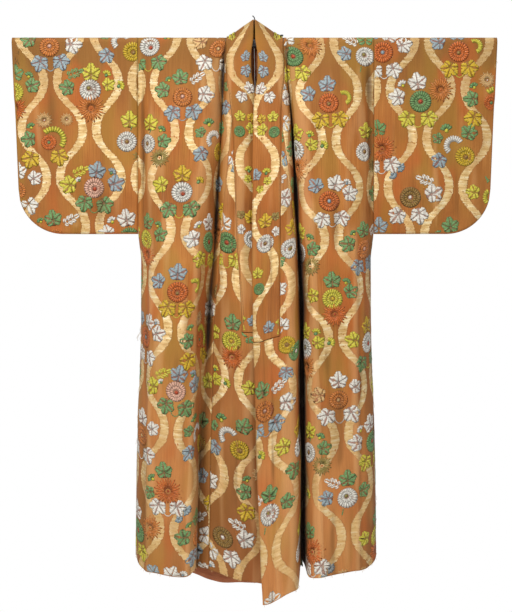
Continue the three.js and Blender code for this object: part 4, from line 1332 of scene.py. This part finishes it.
def lobe_halves(angle, start, end, half_wide, root=(0, 0)):
    """The two toothed halves of a leaf's lobe, with its vein left bare between them."""
    share = np.array([0.1, 0.34, 0.48, 0.7, 0.8, 0.95])
    swell = np.array([0.55, 1.0, 0.78, 1.08, 0.7, 0.62]) * half_wide
    vein = 0.05 * half_wide + 0.4
    side = np.column_stack([start + (end - start) * share, swell])
    half = np.vstack([[[start, vein]], side, [[end, vein * 0.8]]])
    return [turned_by(half * [1, flip], angle) + np.array(root) for flip in (1, -1)]


def dye_of(silk):
    return np.array(tone(*SILKS[silk])[:3])


def disc(middle, radius, count=10):
    angles = np.arange(count) * 2 * math.pi / count
    return np.column_stack([np.cos(angles), np.sin(angles)]) * radius + np.array(middle)


def flower_head(size, hub):
    """A chrysanthemum: two rings of petals round a hub that may lie off its middle."""
    hub = np.array(hub, float)
    parts = [("under", disc((0, 0), 0.97 * size, 24)), ("hub", disc(hub, 0.19 * size))]
    for inner, outer, count in ((0.24, 0.58, 14), (0.5, 1.0, 24)):
        for k in range(count):
            angle = 360 * (k + inner) / count
            way = np.array([math.cos(math.radians(angle)), math.sin(math.radians(angle))])
            lean = float(hub @ way)
            edge = -lean + math.sqrt(lean**2 - float(hub @ hub) + size**2)
            wide = 2 * math.pi * edge * outer / count * 0.8
            parts.append(("petal", petal(angle, inner * edge, outer * edge, wide) + hub))
    return parts


def half_head(size, start, span, inner=0.42):
    """A chrysanthemum seen from its side: one fan of long petals."""
    petals = max(int(round(26 * span / 360)), 4)
    wide = 2 * math.pi * size * span / 360 / petals * 0.82
    angles = [start + span * (k + 0.5) / petals for k in range(petals)]
    return [("petal", petal(angle, inner * size, size, wide)) for angle in angles]


def spider_head(size):
    """A faint chrysanthemum of thin petals, nearly the ground's own colour."""
    parts = [("hub", disc((0, 0), 0.12 * size, 8))]
    for k in range(26):
        reach = size * (1.06 + 0.2 * (k % 2))
        parts.append(("petal", petal(360 * k / 26 + 7, 0.24 * size, reach, 0.15 * size)))
    return parts


LEAF_LOBES = ((-112, 0.7), (-58, 0.94), (0, 1.08), (58, 0.94), (112, 0.7))


def leaf(size):
    """A five-lobed leaf, nearly as broad as it is long."""
    reach = 1.18 * size
    angles = np.radians(np.arange(0, 360, 9.0))
    edge = np.full(len(angles), 0.5)
    for angle, share in LEAF_LOBES:
        away = np.abs((np.degrees(angles) - angle + 90 + 180) % 360 - 180)
        edge = np.maximum(edge, share * (1 - (away / 38) ** 3) * 0.97)
    parts = [("under", np.column_stack([np.cos(angles), np.sin(angles)]) * edge[:, None] * reach)]
    for angle, share in LEAF_LOBES:
        halves = lobe_halves(angle - 90, 0.06 * reach, share * reach, 0.34 * reach)
        parts += [("leaf", half) for half in halves]
    return parts


def narrow_leaf(size):
    """A leaf seen from its side: pairs of short lobes along one vein."""
    parts = [("leaf", half) for half in lobe_halves(0, 0.3 * size, 1.05 * size, 0.26 * size)]
    for place, reach in ((-0.85, 0.5), (-0.42, 0.62), (0.0, 0.6)):
        for flip in (1, -1):
            root = (place * size, flip * 0.04 * size)
            parts += [("leaf", half) for half in lobe_halves(flip * 50, 0, reach * size, 0.2 * size, root)]
    return parts


def bud(size):
    """A bud: a small cup with five short petals out of it."""
    size = 1.2 * size
    parts = [("petal", petal(angle, 0.2 * size, size, 0.46 * size)) for angle in (-155, -122, -90, -58, -25)]
    return parts + [("hub", disc((0, 0.12 * size), 0.34 * size, 8))]


def stem(length):
    """A row of short floats, curving a little."""
    parts = []
    for k in range(int(length / 6.0)):
        middle = np.array([6.0 * k + 3, 0.2 * k**2])
        parts.append(("stem", petal(2.5 * k, -3.2, 3.2, 3.4) + middle))
    return parts


FORK_STEPS = 7


def fork(size):
    """Two curved stems that meet below a pair of leaves."""
    parts = []
    for side in (-1, 1):
        for k in range(FORK_STEPS):
            turn = (k + 0.5) / FORK_STEPS * math.pi / 2
            middle = np.array([side * 0.62 * math.cos(turn), 0.9 * math.sin(turn)]) * size
            slope = math.degrees(math.atan2(0.9 * math.cos(turn), -side * 0.62 * math.sin(turn)))
            parts.append(("stem", petal(slope, -0.12 * size, 0.12 * size, 2.6) + middle))
    return parts


# One flower group a table, its rows: what it is, its silk, its hub's silk, its place right of and
# below the group's middle, its size, its turn in degrees, and what else shapes it.
GROUPS = {
    "white flower": (
        ("flower", "white", "olive", 6, -6, 32, 0, (-5, -6)), ("leaf", "lime", "lime", 8, -50, 28, 0),
        ("leaf", "green", "green", -55, -12, 24, -80), ("narrow", "green", "green", -38, -55, 26, -20),
        ("leaf", "lime", "lime", 55, -20, 20, 60), ("bud", "lime", "green", 53, -50, 12, 20),
        ("bud", "lime", "green", 90, -18, 14, 60), ("spider", "faint", "orange", 8, 46, 34, 0),
    ),
    "crescent": (
        ("half", "lime", "lime", 2, -2, 40, -140, 180, 0.56),
        ("flower", "orange", "green", -10, 6, 23, 0, (0, 0)),
        ("leaf", "mustard", "mustard", 19, 42, 27, 170), ("leaf", "green", "green", -63, -4, 24, -90),
        ("bud", "green", "lime", -61, -38, 12, -20), ("leaf", "mustard", "mustard", -61, 48, 28, 200),
        ("spider", "pale", "white", -23, -58, 20, 0), ("spider", "pale", "white", 42, -60, 16, 0),
    ),
    "pink flower": (
        ("flower", "pink", "red", 8, -2, 30, 0, (2, 3)), ("leaf", "blue", "blue", 15, -46, 27, 10),
        ("bud", "blue", "green", 59, -46, 12, 30), ("leaf", "blue", "blue", 66, -13, 26, 70),
        ("narrow", "lime", "lime", -30, -51, 26, -25), ("leaf", "lime", "lime", -59, -10, 27, -80),
        ("bud", "white", "green", -35, -24, 9, -40), ("leaf", "green", "green", -19, 36, 26, 190),
        ("leaf", "green", "green", 36, 42, 27, 150), ("fork", "green", "green", 8, 50, 22, 0),
    ),
    "green flower": (
        ("flower", "green", "red", 0, 4, 32, 0, (0, 0)), ("leaf", "white", "white", -8, -46, 28, -10),
        ("bud", "white", "lime", -51, -44, 13, -30), ("leaf", "white", "white", -61, -8, 26, -80),
        ("leaf", "lime", "lime", -36, 48, 26, 205), ("leaf", "lime", "lime", 22, 48, 26, 160),
        ("fork", "lime", "lime", -7, 58, 22, 0), ("spider", "faint", "orange", 58, -30, 30, 0),
    ),
    "yellow flower": (
        ("flower", "mustard", "brown", 24, 22, 29, 0, (3, 3)),
        ("half", "white", "white", -8, -8, 31, 130, 200),
        ("leaf", "green", "green", 34, -42, 26, 20), ("bud", "green", "lime", -30, -54, 16, -10),
        ("leaf", "green", "green", -52, -28, 17, -60), ("leaf", "blue", "blue", -48, 30, 24, 220),
    ),
    "brown flower": (
        ("flower", "brown", "white", -23, 0, 31, 0, (0, 0)), ("leaf", "white", "white", 38, -8, 28, 60),
        ("narrow", "white", "white", 19, -50, 27, -160), ("leaf", "white", "white", -57, 48, 27, 220),
        ("leaf", "white", "white", 2, 46, 27, 170), ("stem", "faint", "faint", 14, -30, 26, 70),
    ),
    "ring flower": (
        ("flower", "white", "brown", 0, 4, 30, 0, (0, 0)), ("leaf", "lime", "lime", 8, -52, 27, 0),
        ("leaf", "green", "green", 50, -5, 22, 80), ("bud", "green", "lime", 45, -38, 12, 30),
        ("spider", "olive", "orange", 46, 44, 24, 0), ("stem", "green", "green", 10, -28, 20, -70),
    ),
    "blue leaves": (
        ("flower", "faint", "pink", 0, 8, 30, 0, (0, -2)), ("leaf", "green", "green", -5, -46, 26, -10),
        ("leaf", "green", "green", -55, -13, 25, -80), ("bud", "green", "lime", -42, -44, 10, -30),
        ("leaf", "white", "white", 62, 2, 27, 90), ("narrow", "white", "white", 46, -50, 26, -30),
        ("leaf", "blue", "blue", -26, 50, 26, 195), ("leaf", "blue", "blue", 32, 46, 26, 160),
        ("fork", "blue", "blue", 3, 58, 22, 0),
    ),
    "fan flower": (
        ("flower", "white", "red", 6, -2, 31, 0, (4, 5)), ("leaf", "mustard", "mustard", 4, -48, 27, -5),
        ("leaf", "lime", "lime", -52, -20, 25, -75), ("leaf", "green", "green", -26, 46, 26, 200),
        ("leaf", "green", "green", 34, 42, 26, 155), ("fork", "lime", "lime", 4, 54, 22, 0),
        ("bud", "mustard", "green", 52, -30, 13, 40),
    ),
    "orange flower": (
        ("flower", "orange", "brown", 0, 0, 31, 0, (0, 3)), ("leaf", "blue", "blue", -4, -50, 27, 0),
        ("leaf", "blue", "blue", -55, -26, 24, -70), ("half", "lime", "lime", 46, -16, 24, -120, 190),
        ("leaf", "mustard", "mustard", -24, 44, 27, 200), ("leaf", "mustard", "mustard", 28, 42, 27, 160),
        ("fork", "lime", "lime", 2, 54, 22, 0),
    ),
    "blue hub": (
        ("flower", "orange", "blue", -4, 2, 31, 0, (0, 0)), ("leaf", "blue", "blue", -36, -42, 24, -40),
        ("leaf", "white", "white", 16, -44, 26, 20), ("leaf", "white", "white", 52, -18, 25, 75),
        ("leaf", "white", "white", -26, 50, 25, 200), ("leaf", "white", "white", 26, 48, 25, 160),
        ("fork", "white", "white", 0, 58, 22, 0), ("bud", "white", "blue", 50, -50, 11, 30),
    ),
    "lime flower": (
        ("flower", "lime", "mustard", 0, 0, 30, 0, (0, 0)), ("leaf", "green", "green", 4, -48, 26, 0),
        ("leaf", "green", "green", 50, -18, 23, 70), ("bud", "green", "lime", 44, -46, 12, 20),
        ("spider", "orange", "red", 2, 46, 30, 0), ("leaf", "lime", "lime", -52, -14, 22, -80),
    ),
    "white leaves": (
        ("flower", "faint", "pale", 0, 6, 28, 0, (0, 0)), ("leaf", "white", "white", 2, -44, 27, 0),
        ("leaf", "white", "white", 48, -28, 22, 60), ("leaf", "white", "white", -34, 44, 27, 205),
        ("leaf", "white", "white", 34, 44, 27, 155), ("leaf", "pale", "pale", -52, -14, 24, -80),
        ("fork", "white", "white", 0, 54, 22, 0),
    ),
    "spider flower": (
        ("spider", "orange", "red", 0, 0, 34, 0), ("leaf", "green", "green", -12, -52, 26, -10),
        ("bud", "green", "lime", -46, -30, 13, -50), ("leaf", "white", "white", -28, 44, 26, 200),
        ("leaf", "white", "white", 26, 40, 26, 160), ("bud", "blue", "blue", 50, 52, 14, 120),
        ("bud", "blue", "blue", 30, 74, 12, 150), ("leaf", "green", "green", -52, 10, 20, -100),
        ("fork", "white", "white", -1, 52, 22, 0),
    ),
    "olive hub": (
        ("flower", "white", "olive", 4, 4, 30, 0, (-4, -6)), ("leaf", "green", "green", 6, -46, 26, 0),
        ("narrow", "white", "white", -38, -46, 25, -150), ("leaf", "blue", "blue", -52, -4, 23, -80),
        ("leaf", "green", "green", 52, -12, 23, 80), ("stem", "green", "green", -10, 34, 22, 100),
    ),
}
# The sprays of the overlap and the neckband are narrower, as these pieces are.
GROUPS["overlap white"] = (
    ("flower", "white", "olive", -26, 4, 29, 0, (0, 0)), ("leaf", "mustard", "mustard", -18, -48, 24, 0),
    ("leaf", "green", "green", -58, 30, 22, 220), ("leaf", "lime", "lime", 4, -30, 16, 40),
)
GROUPS["overlap pair"] = (
    ("flower", "mustard", "brown", -36, -14, 26, 0, (0, 0)),
    ("flower", "green", "white", -8, 12, 25, 0, (0, 0)),
    ("leaf", "white", "white", -48, -66, 24, -20), ("leaf", "blue", "blue", -40, 60, 22, 190),
)
GROUPS["band blue"] = (
    ("leaf", "blue", "blue", -2, -40, 15, 0), ("leaf", "blue", "blue", -1, -10, 18, 190),
    ("leaf", "white", "white", -4, 46, 18, 10), ("leaf", "white", "white", 26, 62, 18, 160),
)
GROUPS["band lime"] = (
    ("flower", "green", "green", 2, 22, 17, 0, (0, 0)), ("leaf", "lime", "lime", -2, -18, 17, 0),
    ("leaf", "lime", "lime", -30, 14, 18, -60), ("leaf", "mustard", "mustard", -34, -16, 14, -20),
)
GROUPS["band small"] = (
    ("leaf", "blue", "blue", -10, -4, 18, 0), ("leaf", "lime", "lime", 24, 16, 13, 40),
    ("bud", "lime", "green", 22, -10, 12, 10), ("leaf", "lime", "lime", 4, 30, 12, 190),
)
GROUPS["band yellow"] = (
    ("leaf", "mustard", "mustard", -22, -14, 22, 0), ("flower", "white", "brown", -22, 44, 26, 0, (0, 0)),
    ("leaf", "white", "white", 8, 18, 15, 60), ("leaf", "olive", "olive", 6, -24, 13, 40),
)
# Which group fills each wide place between the lines, by its place in the drawing.
SET_GROUPS = {
    "sleeve_right": {
        (1.5, 0): "white flower", (2.5, 0): "crescent", (0.5, 0): "ring flower", (1.5, 1): "pink flower",
        (0.5, -1): "yellow flower", (2.5, -1): "blue leaves", (3.5, 0): "lime flower",
        (3.5, 1): "white leaves",
    },
    "sleeve_left": {
        (1.5, 0): "green flower", (2.5, 0): "yellow flower", (0.5, 0): "spider flower",
        (1.5, 1): "brown flower",
        (0.5, -1): "blue hub", (2.5, -1): "orange flower", (3.5, 0): "crescent", (3.5, 1): "lime flower",
    },
    "front_right": {
        (1.5, 0): "blue leaves", (1.5, 1): "fan flower", (0.5, 0): "ring flower", (2.5, 0): "yellow flower",
        (1.5, 2): "orange flower", (1.5, 3): "pink flower", (1.5, 4): "spider flower",
        (0.5, 1): "lime flower",
        (2.5, 1): "green flower", (2.5, 2): "crescent", (2.5, 3): "yellow flower", (0.5, 2): "blue hub",
        (0.5, 3): "white leaves", (3.5, 2): "brown flower", (3.5, 3): "fan flower", (0.5, 4): "green flower",
    },
    "front_left": {
        (1.5, 0): "orange flower", (1.5, 1): "blue hub", (0.5, 0): "ring flower", (1.5, 2): "lime flower",
        (1.5, 3): "white leaves", (1.5, 4): "olive hub", (2.5, 0): "white flower", (0.5, 1): "blue leaves",
        (2.5, 1): "ring flower", (0.5, 2): "fan flower", (2.5, 2): "white flower", (0.5, 3): "green flower",
        (2.5, 3): "ring flower", (3.5, 1): "yellow flower", (3.5, 3): "crescent", (0.5, 4): "lime flower",
    },
}
SET_GROUPS["overlap_left"] = {
    (0.5, 1): "overlap white", (0.5, 2): "overlap pair", (0.5, 3): "fan flower", (0.5, 4): "ring flower",
    (-0.5, 3): "blue leaves", (-0.5, 4): "olive hub", (1.5, 3): "blue hub", (1.5, 2): "white flower",
}
SET_GROUPS["overlap_right"] = {
    (0.5, 1): "green flower", (0.5, 2): "lime flower", (0.5, 3): "yellow flower", (0.5, 4): "brown flower",
}
BAND_GROUPS = {
    (0.5, -1): "band small", (-0.5, 0): "band blue", (0.5, 0): "band lime", (-0.5, 1): "band small",
    (0.5, 1): "band yellow", (-0.5, 2): "band lime", (0.5, 2): "band small", (-0.5, -1): "band yellow",
}
SET_GROUPS["neckband_left"] = SET_GROUPS["neckband_right"] = BAND_GROUPS
CYCLE = tuple(name for name in GROUPS if not name.startswith(("band", "overlap")))
GROUP_DROP = 0.12
MAKERS = {"flower": flower_head, "half": half_head, "spider": spider_head, "leaf": leaf,
          "narrow": narrow_leaf, "bud": bud, "stem": stem, "fork": fork}


def element_parts(row):
    kind, silk, hub, right, below, size, turn, *more = row
    if kind == "flower":
        parts, turn = flower_head(size, more[0]), 0
    elif kind == "half":
        parts, turn = half_head(size, turn, *more), 0
    else:
        parts = MAKERS[kind](size)
    for part, shape in parts:
        shape = turned_by(shape, turn) + np.array([right, below], float)
        yield part, hub if part == "hub" else silk, shape


# The wide places between the lines, by line and by repeat, that the groups take their turn in.
LINES, REPEATS = np.arange(-3.5, 6.5, 1.0), range(-8, 8)
# How far over a piece's ends a group may have its middle, and how much of a part may be cut off.
GROUP_REACH, CUT_OFF = 80, 12


def group_places(node, side, start, repeat, drops, keep):
    """The groups whose places lie on a piece, each with its middle on the cloth. Where keep is
    given, only the middle places count, and they are brought between its two distances across."""
    for column in LINES:
        for row in REPEATS:
            shift = 0.0 if (column - 1.5) % 2 == 0 else 0.5
            drop = (row + shift + GROUP_DROP) * repeat + start[1]
            across = column * LINE_PITCH + start[0] + lean_of(start, drop)
            if not (drops[0] - GROUP_REACH < drop < drops[1] + GROUP_REACH):
                continue
            if keep and abs(column) > 0.6:
                continue
            if keep:
                across = np.clip(across, *keep)
            pick = SET_GROUPS.get(node, {}).get((column, row))
            pick = pick or CYCLE[int(column * 2 + row * 5 + 3 * side) % len(CYCLE)]
            yield GROUPS[pick], np.array([across, drop])


def placed_shapes(places, clear, way):
    """The outlines of the groups' parts on the cloth, each with its kind and its dye."""
    for group, middle in places:
        for element in group:
            for part, silk, shape in element_parts(element):
                shape = shape * [way, 1] + middle
                cleared = clear(shape)
                if np.abs(cleared - shape).max() > CUT_OFF:
                    continue
                yield part, dye_of(silk) * (1 + TINT_SPREAD * DICE.uniform(-1, 1)), cleared


def raise_shapes(shapes):
    """A closed low mound on each outline. Returns the points on the cloth and their heights over
    it, the faces and the points' colours."""
    points, lifts, faces, colors, total = [], [], [], [], 0
    for kind, dye, shape in shapes:
        count = len(shape)
        centre = shape.mean(axis=0)
        low = kind == "under"
        rings = PART_RINGS.get(kind, (1.0,))
        roots = rings[1:] if low else ()
        rim, crown = (UNDER_RIM, UNDER_CROWN) if low else (FLOAT_RIM, FLOAT_CROWN)
        points += [centre + (shape - centre) * share for share in (*rings, *roots)]
        lifts += [rim] * count + [crown] * count * (len(rings) - 1) + [FLOAT_ROOT] * count * len(roots)
        above = [total + r * count for r in range(len(rings))]
        below = [total] + [total + (len(rings) + r) * count for r in range(len(roots))]
        middle = total + (len(rings) + len(roots)) * count
        points += [[centre], [centre]]
        lifts += [crown, FLOAT_ROOT]
        for rows, tip, way_round in ((above, middle, 1), (below, middle + 1, -1)):
            for k in range(count):
                after = (k + 1) % count
                for outer, inner in zip(rows[:-1], rows[1:]):
                    faces.append((outer + k, outer + after, inner + after, inner + k)[::way_round])
                faces.append((rows[-1] + k, rows[-1] + after, tip)[::way_round])
        colors += [(*(mix(dye, UNDER_DYE_AND_SHADE, UNDER_SHARE) if low else dye), 1.0)] * (middle + 2 - total)
        total = middle + 2
    return np.vstack(points), np.array(lifts), faces, np.array(colors)


def flowers(node, side, surface, start, repeat, to_spot, clear, drops, way, thick=CLOTH_THICK,
            keep=None, sewn=()):
    """All the flower groups of one cloth piece, and what else is sewn on it, as one mesh. to_spot
    carries a place on the cloth, across and down, to the surface's own two lengths. Clear moves
    points off the seams, and way is -1 where the cloth's own across runs to the left."""
    places = group_places(node, side, start, repeat, drops, keep)
    flat, lifts, faces, colors = raise_shapes([*placed_shapes(places, clear, way), *sewn])
    a, b = to_spot(flat[:, 0], flat[:, 1])
    carried, _ = surface.at(a, b, thick / 2 + lifts)
    drawing = drawn(flat[:, 0], flat[:, 1], start, repeat)
    return make_mesh(f"flowers_{node}", carried, faces, np.zeros(len(faces), int), [SILK], drawing,
                     colors, surface.relief_at(a, b))


STITCH_EVERY, STITCH_LONG, STITCH_WIDE = 9.0, 4.8, 1.0


def stitches(across, start, end):
    """A row of stitches down the cloth, beside a seam."""
    one = petal(90, -STITCH_LONG / 2, STITCH_LONG / 2, STITCH_WIDE)
    for drop in np.arange(start, end, STITCH_EVERY):
        yield "stem", dye_of("brown"), one + np.array([across, drop])


def clear_of(bounds):
    """Moves places in from the seams. Bounds gives the cloth's two sides at each drop."""

    def clear(shape):
        left, right = bounds(shape[:, 1])
        return np.column_stack([np.clip(shape[:, 0], left, right), shape[:, 1]])

    return clear


def body_bounds(drop):
    cut_away = NECK_HALF * (1 - np.clip(np.abs(drop) / OVERLAP_TIP_DROP, 0, 1))
    return SEAM_CLEAR, PANEL_WIDTH - cut_away - SEAM_CLEAR


def overlap_bounds(drop):
    start = np.where(drop < BAND_DROP + 6, BAND_WIDTH, 0)
    return start + SEAM_CLEAR, np.maximum(body_seam_at(drop), start + 4) - SEAM_CLEAR


def sleeve_clear(side):
    start = SLEEVE_HEAD[side]

    def clear(shape):
        deepest = FOLD_ARC - sleeve_bottom(start + shape[:, 0]) - 4
        run = np.clip(shape[:, 1], -deepest, deepest)
        end = sleeve_end(FOLD_ARC - np.abs(run)) - start
        return np.column_stack([np.clip(shape[:, 0], SEAM_CLEAR, end - 4), run])

    return clear


def held_between(clear, low, high):
    return lambda shape: clear(np.column_stack([shape[:, 0], np.clip(shape[:, 1], low, high)]))


def all_flowers():
    made = {}
    for side in (1, -1):
        wearer = WEARER[side]
        front = SURFACES[f"front_{side}"]
        made[f"front_{wearer}"] = flowers(
            f"front_{wearer}", side, front, FRONT_START[side], BODY_REPEAT,
            lambda u, v: (front_width(v) - u, v),
            held_between(clear_of(body_bounds), 2, BODY_LENGTH - 2), (2, BODY_LENGTH), -side,
        )
        made[f"overlap_{wearer}"] = flowers(
            f"overlap_{wearer}", side, front, OVERLAP_START[side], BODY_REPEAT,
            lambda u, v: (u, v),
            held_between(clear_of(overlap_bounds), OVERLAP_TIP_DROP + 20, BODY_LENGTH - 2),
            (OVERLAP_TIP_DROP + 20, BODY_LENGTH), side,
        )
        made[f"sleeve_{wearer}"] = flowers(
            f"sleeve_{wearer}", side, sleeve_surface(side), SLEEVE_START[side], SLEEVE_REPEAT[side],
            lambda u, v: (u, v), sleeve_clear(side), (-565, 565), side,
        )
        made[f"back_{wearer}"] = flowers(
            f"back_{wearer}", side, BACK, FRONT_START[side], -BODY_REPEAT,
            lambda u, v, side=side: (side * (PANEL_WIDTH - u), v),
            held_between(clear_of(body_bounds), 28, BODY_LENGTH - 2), (28, BODY_LENGTH), -side,
        )
        made[f"neckband_{wearer}"] = flowers(
            f"neckband_{wearer}", side, BAND, BAND_START, BODY_REPEAT,
            lambda u, v, side=side: (1 - u / BAND_WIDTH, side * (NECK_HALF + v)),
            held_between(clear_of(lambda drop: (3.0, BAND_WIDTH - 3.0)), 4 - NECK_HALF, BAND_DROP - 6),
            (4 - NECK_HALF, BAND_DROP), 1, thick=BAND_THICK, keep=(20, 62),
            sewn=stitches(BAND_WIDTH - 4.0, 8 - NECK_HALF, BAND_DROP - 12),
        )
    return made


floats = all_flowers()

# ---- loose threads ----------------------------------------------------------------------------
# Where the cloth is frayed: the piece, its side, the places across its cloth and the drops
# between which its threads come out, how many there are, how long and how thick they are, and
# their silk.
FRAYED = (
    ("front", -1, (516, 519), (884, 900), 5, (22, 46), 0.7, "white"),
    ("front", -1, (514, 519), (600, 1500), 9, (8, 24), 0.35, "pale"),
    ("front", 1, (514, 519), (640, 1500), 8, (8, 22), 0.35, "pale"),
    ("front", -1, (190, 516), (1588, 1589), 14, (3, 8), 0.35, "pale"),
    ("front", 1, (190, 516), (1588, 1589), 14, (3, 8), 0.35, "pale"),
    ("overlap", 1, (172, 179), (1580, 1589), 24, (8, 20), 0.85, "dusky"),
    ("overlap", 1, (4, 160), (1588, 1589), 8, (3, 7), 0.35, "pale"),
    ("overlap", -1, (4, 176), (1588, 1589), 6, (3, 7), 0.35, "pale"),
    ("sleeve", -1, (340, 355), (30, 120), 4, (8, 20), 0.4, "dusky"),
    ("sleeve", 1, (340, 355), (30, 120), 4, (8, 18), 0.4, "pale"),
)
THREAD_STEPS = 9


def strand(path, half):
    """A closed thin tube of four sides along a path."""
    along = unit(np.gradient(path, axis=0))
    beside = unit(np.cross(along, (0.1, 1.0, 0.3)))
    across = np.cross(along, beside)
    corners = ((1, 0), (0, 1), (-1, 0), (0, -1))
    rings = np.stack([path + half * (p * beside + q * across) for p, q in corners], 1)
    last = 4 * (len(path) - 1)
    faces = [(3, 2, 1, 0), (last, last + 1, last + 2, last + 3)]
    for ring in range(0, last, 4):
        for k in range(4):
            after = (k + 1) % 4
            faces.append((ring + k, ring + after, ring + after + 4, ring + k + 4))
    return rings.reshape(-1, 3), faces


def loose_threads(node, side):
    """All the loose threads of one cloth piece. Each leaves the cloth outwards and then hangs."""
    surface = sleeve_surface(side) if node == "sleeve" else SURFACES[f"front_{side}"]
    points, faces, colors, total = [], [], [], 0
    for kind, its_side, acrosses, drops, count, lengths, half, silk in FRAYED:
        if (kind, its_side) != (node, side):
            continue
        for _ in range(count):
            spot, normal = surface.at(DICE.uniform(*acrosses), DICE.uniform(*drops), 0.6)
            t = np.linspace(0, 1, THREAD_STEPS)[:, None]
            length, curl = DICE.uniform(*lengths), DICE.uniform(-1, 1, 3)
            fall = np.array([0.25 * curl[0], -0.1, -1.0]) * length * t**1.4
            turns = math.pi * (1 + abs(curl[2])) * t
            bow = np.array([1.0, 0.4, 0.0]) * curl[1] * 0.16 * length * np.sin(turns)
            tube, sides = strand(spot + normal * 2.2 * np.sqrt(t) + fall + bow, half)
            points.append(tube)
            faces += [tuple(total + corner for corner in face) for face in sides]
            colors += [tone(*SILKS[silk])] * len(tube)
            total += len(tube)
    return make_mesh(f"threads_{node}_{WEARER[side]}", np.vstack(points), faces,
                     np.zeros(len(faces), int), [SILK], np.zeros((total, 2)), np.array(colors))


for frayed_node in ("front", "overlap", "sleeve"):
    for side in (1, -1):
        floats[f"{frayed_node}_{WEARER[side]}_threads"] = loose_threads(frayed_node, side)

# ---- each piece's cut, and the pieces on the body ---------------------------------------------
# The cut of each piece, in metres: its flat width and length, and its area.
CUTS = {
    "front": ((0.341, 1.590), 0.5317),
    "overlap": ((0.180, 1.340), 0.1594),
    "back": ((0.341, 1.590), None),
    "sleeve": ((0.357, 1.154), 0.405),
    "neckband": ((0.084, 1.908), None),
    "hem": ((0.624, 0.247), None),
}
for node, piece in pieces.items():
    flat, area = CUTS[node.split("_")[0]]
    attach(piece, "root")
    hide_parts(node)
    raised = [made for name, made in floats.items() if name.startswith(node)]
    for extra in raised:
        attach(extra, "root")
for node in ("rod", "neck_prop"):
    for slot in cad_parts[node].material_slots:
        slot.material = LACQUER

# The neck prop's left foot ends in a knob, which shows above the shoulder.
KNOB_HALF_SIZE = (0.0085, 0.0042, 0.0042)
KNOB_TILT = 18
KNOB_PLACE = (0.076, 0.004, 0.0222)
bpy.ops.mesh.primitive_uv_sphere_add(segments=20, ring_count=12, radius=1.0)
knob = bpy.context.active_object
knob.name = "prop_knob"
bpy.ops.object.mode_set(mode="EDIT")
bpy.ops.transform.resize(value=KNOB_HALF_SIZE)
bpy.ops.transform.rotate(value=math.radians(KNOB_TILT), orient_axis="Y")
bpy.ops.transform.translate(value=KNOB_PLACE)
bpy.ops.object.mode_set(mode="OBJECT")
bpy.ops.object.shade_smooth()
knob.data.materials.append(LACQUER)
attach(knob, "root")

# ---- floor and light --------------------------------------------------------------------------
FLOOR_DROP, FLOOR_RADIUS, FLOOR_THICK = 1.84, 0.92, 0.02
floor_material, floor_nodes, floor_shader = new_material("stage")
floor_shader.inputs["Roughness"].default_value = 0.9
paper = floor_nodes.noise(floor_nodes.node("ShaderNodeTexCoord").outputs["Object"], 3.0, 2.0)
floor_nodes.feed(
    floor_shader.inputs["Base Color"],
    floor_nodes.ramp(paper, [(0.3, tone(236, 235, 233)), (0.7, tone(242, 241, 239))]),
)
bpy.ops.mesh.primitive_cylinder_add(
    vertices=96, radius=FLOOR_RADIUS, depth=FLOOR_THICK, location=(0.0, 0.0, -FLOOR_DROP)
)
floor = bpy.context.active_object
floor.name = "stage_floor"
floor.data.materials.append(floor_material)


def soft_light(name, place, aim, size, power):
    """A square light that looks at a point."""
    data = bpy.data.lights.new(name, "AREA")
    data.shape, data.size, data.energy = "SQUARE", size, power
    light = bpy.data.objects.new(name, data)
    light.location = place
    way = np.array(aim) - np.array(place)
    level = math.hypot(way[0], way[1])
    light.rotation_euler = (math.atan2(level, -way[2]), 0.0, math.atan2(-way[0], way[1]))
    bpy.context.collection.objects.link(light)


MIDDLE = (0.0, 0.0, -0.8)
# Each light's place, size and power.
LIGHTS = (
    ("key", (-1.5, -3.1, 1.3), 1.1, 118.0),
    ("fill", (2.6, -2.6, 0.1), 2.2, 16.0),
    ("top", (0.3, -0.2, 2.2), 1.6, 22.0),
    ("back", (0.8, 3.2, 0.4), 1.8, 34.0),
)
for name, place, size, power in LIGHTS:
    soft_light(name, place, MIDDLE, size, power)
# How strongly the white surroundings light the robe. The camera sees them at full strength.
SKY_LIGHT = 0.46
world = bpy.data.worlds.new("studio")
world.use_nodes = True
sky = next(node for node in world.node_tree.nodes if node.type == "BACKGROUND")
seen = Nodes(world.node_tree)
straight = seen.node("ShaderNodeLightPath").outputs["Is Camera Ray"]
sky.inputs["Color"].default_value = (1.0, 1.0, 1.0, 1.0)
seen.feed(sky.inputs["Strength"], seen.between(straight, 0.0, 1.0, SKY_LIGHT, 1.0))
bpy.context.scene.world = world
bpy.context.scene.view_settings.view_transform = "Standard"
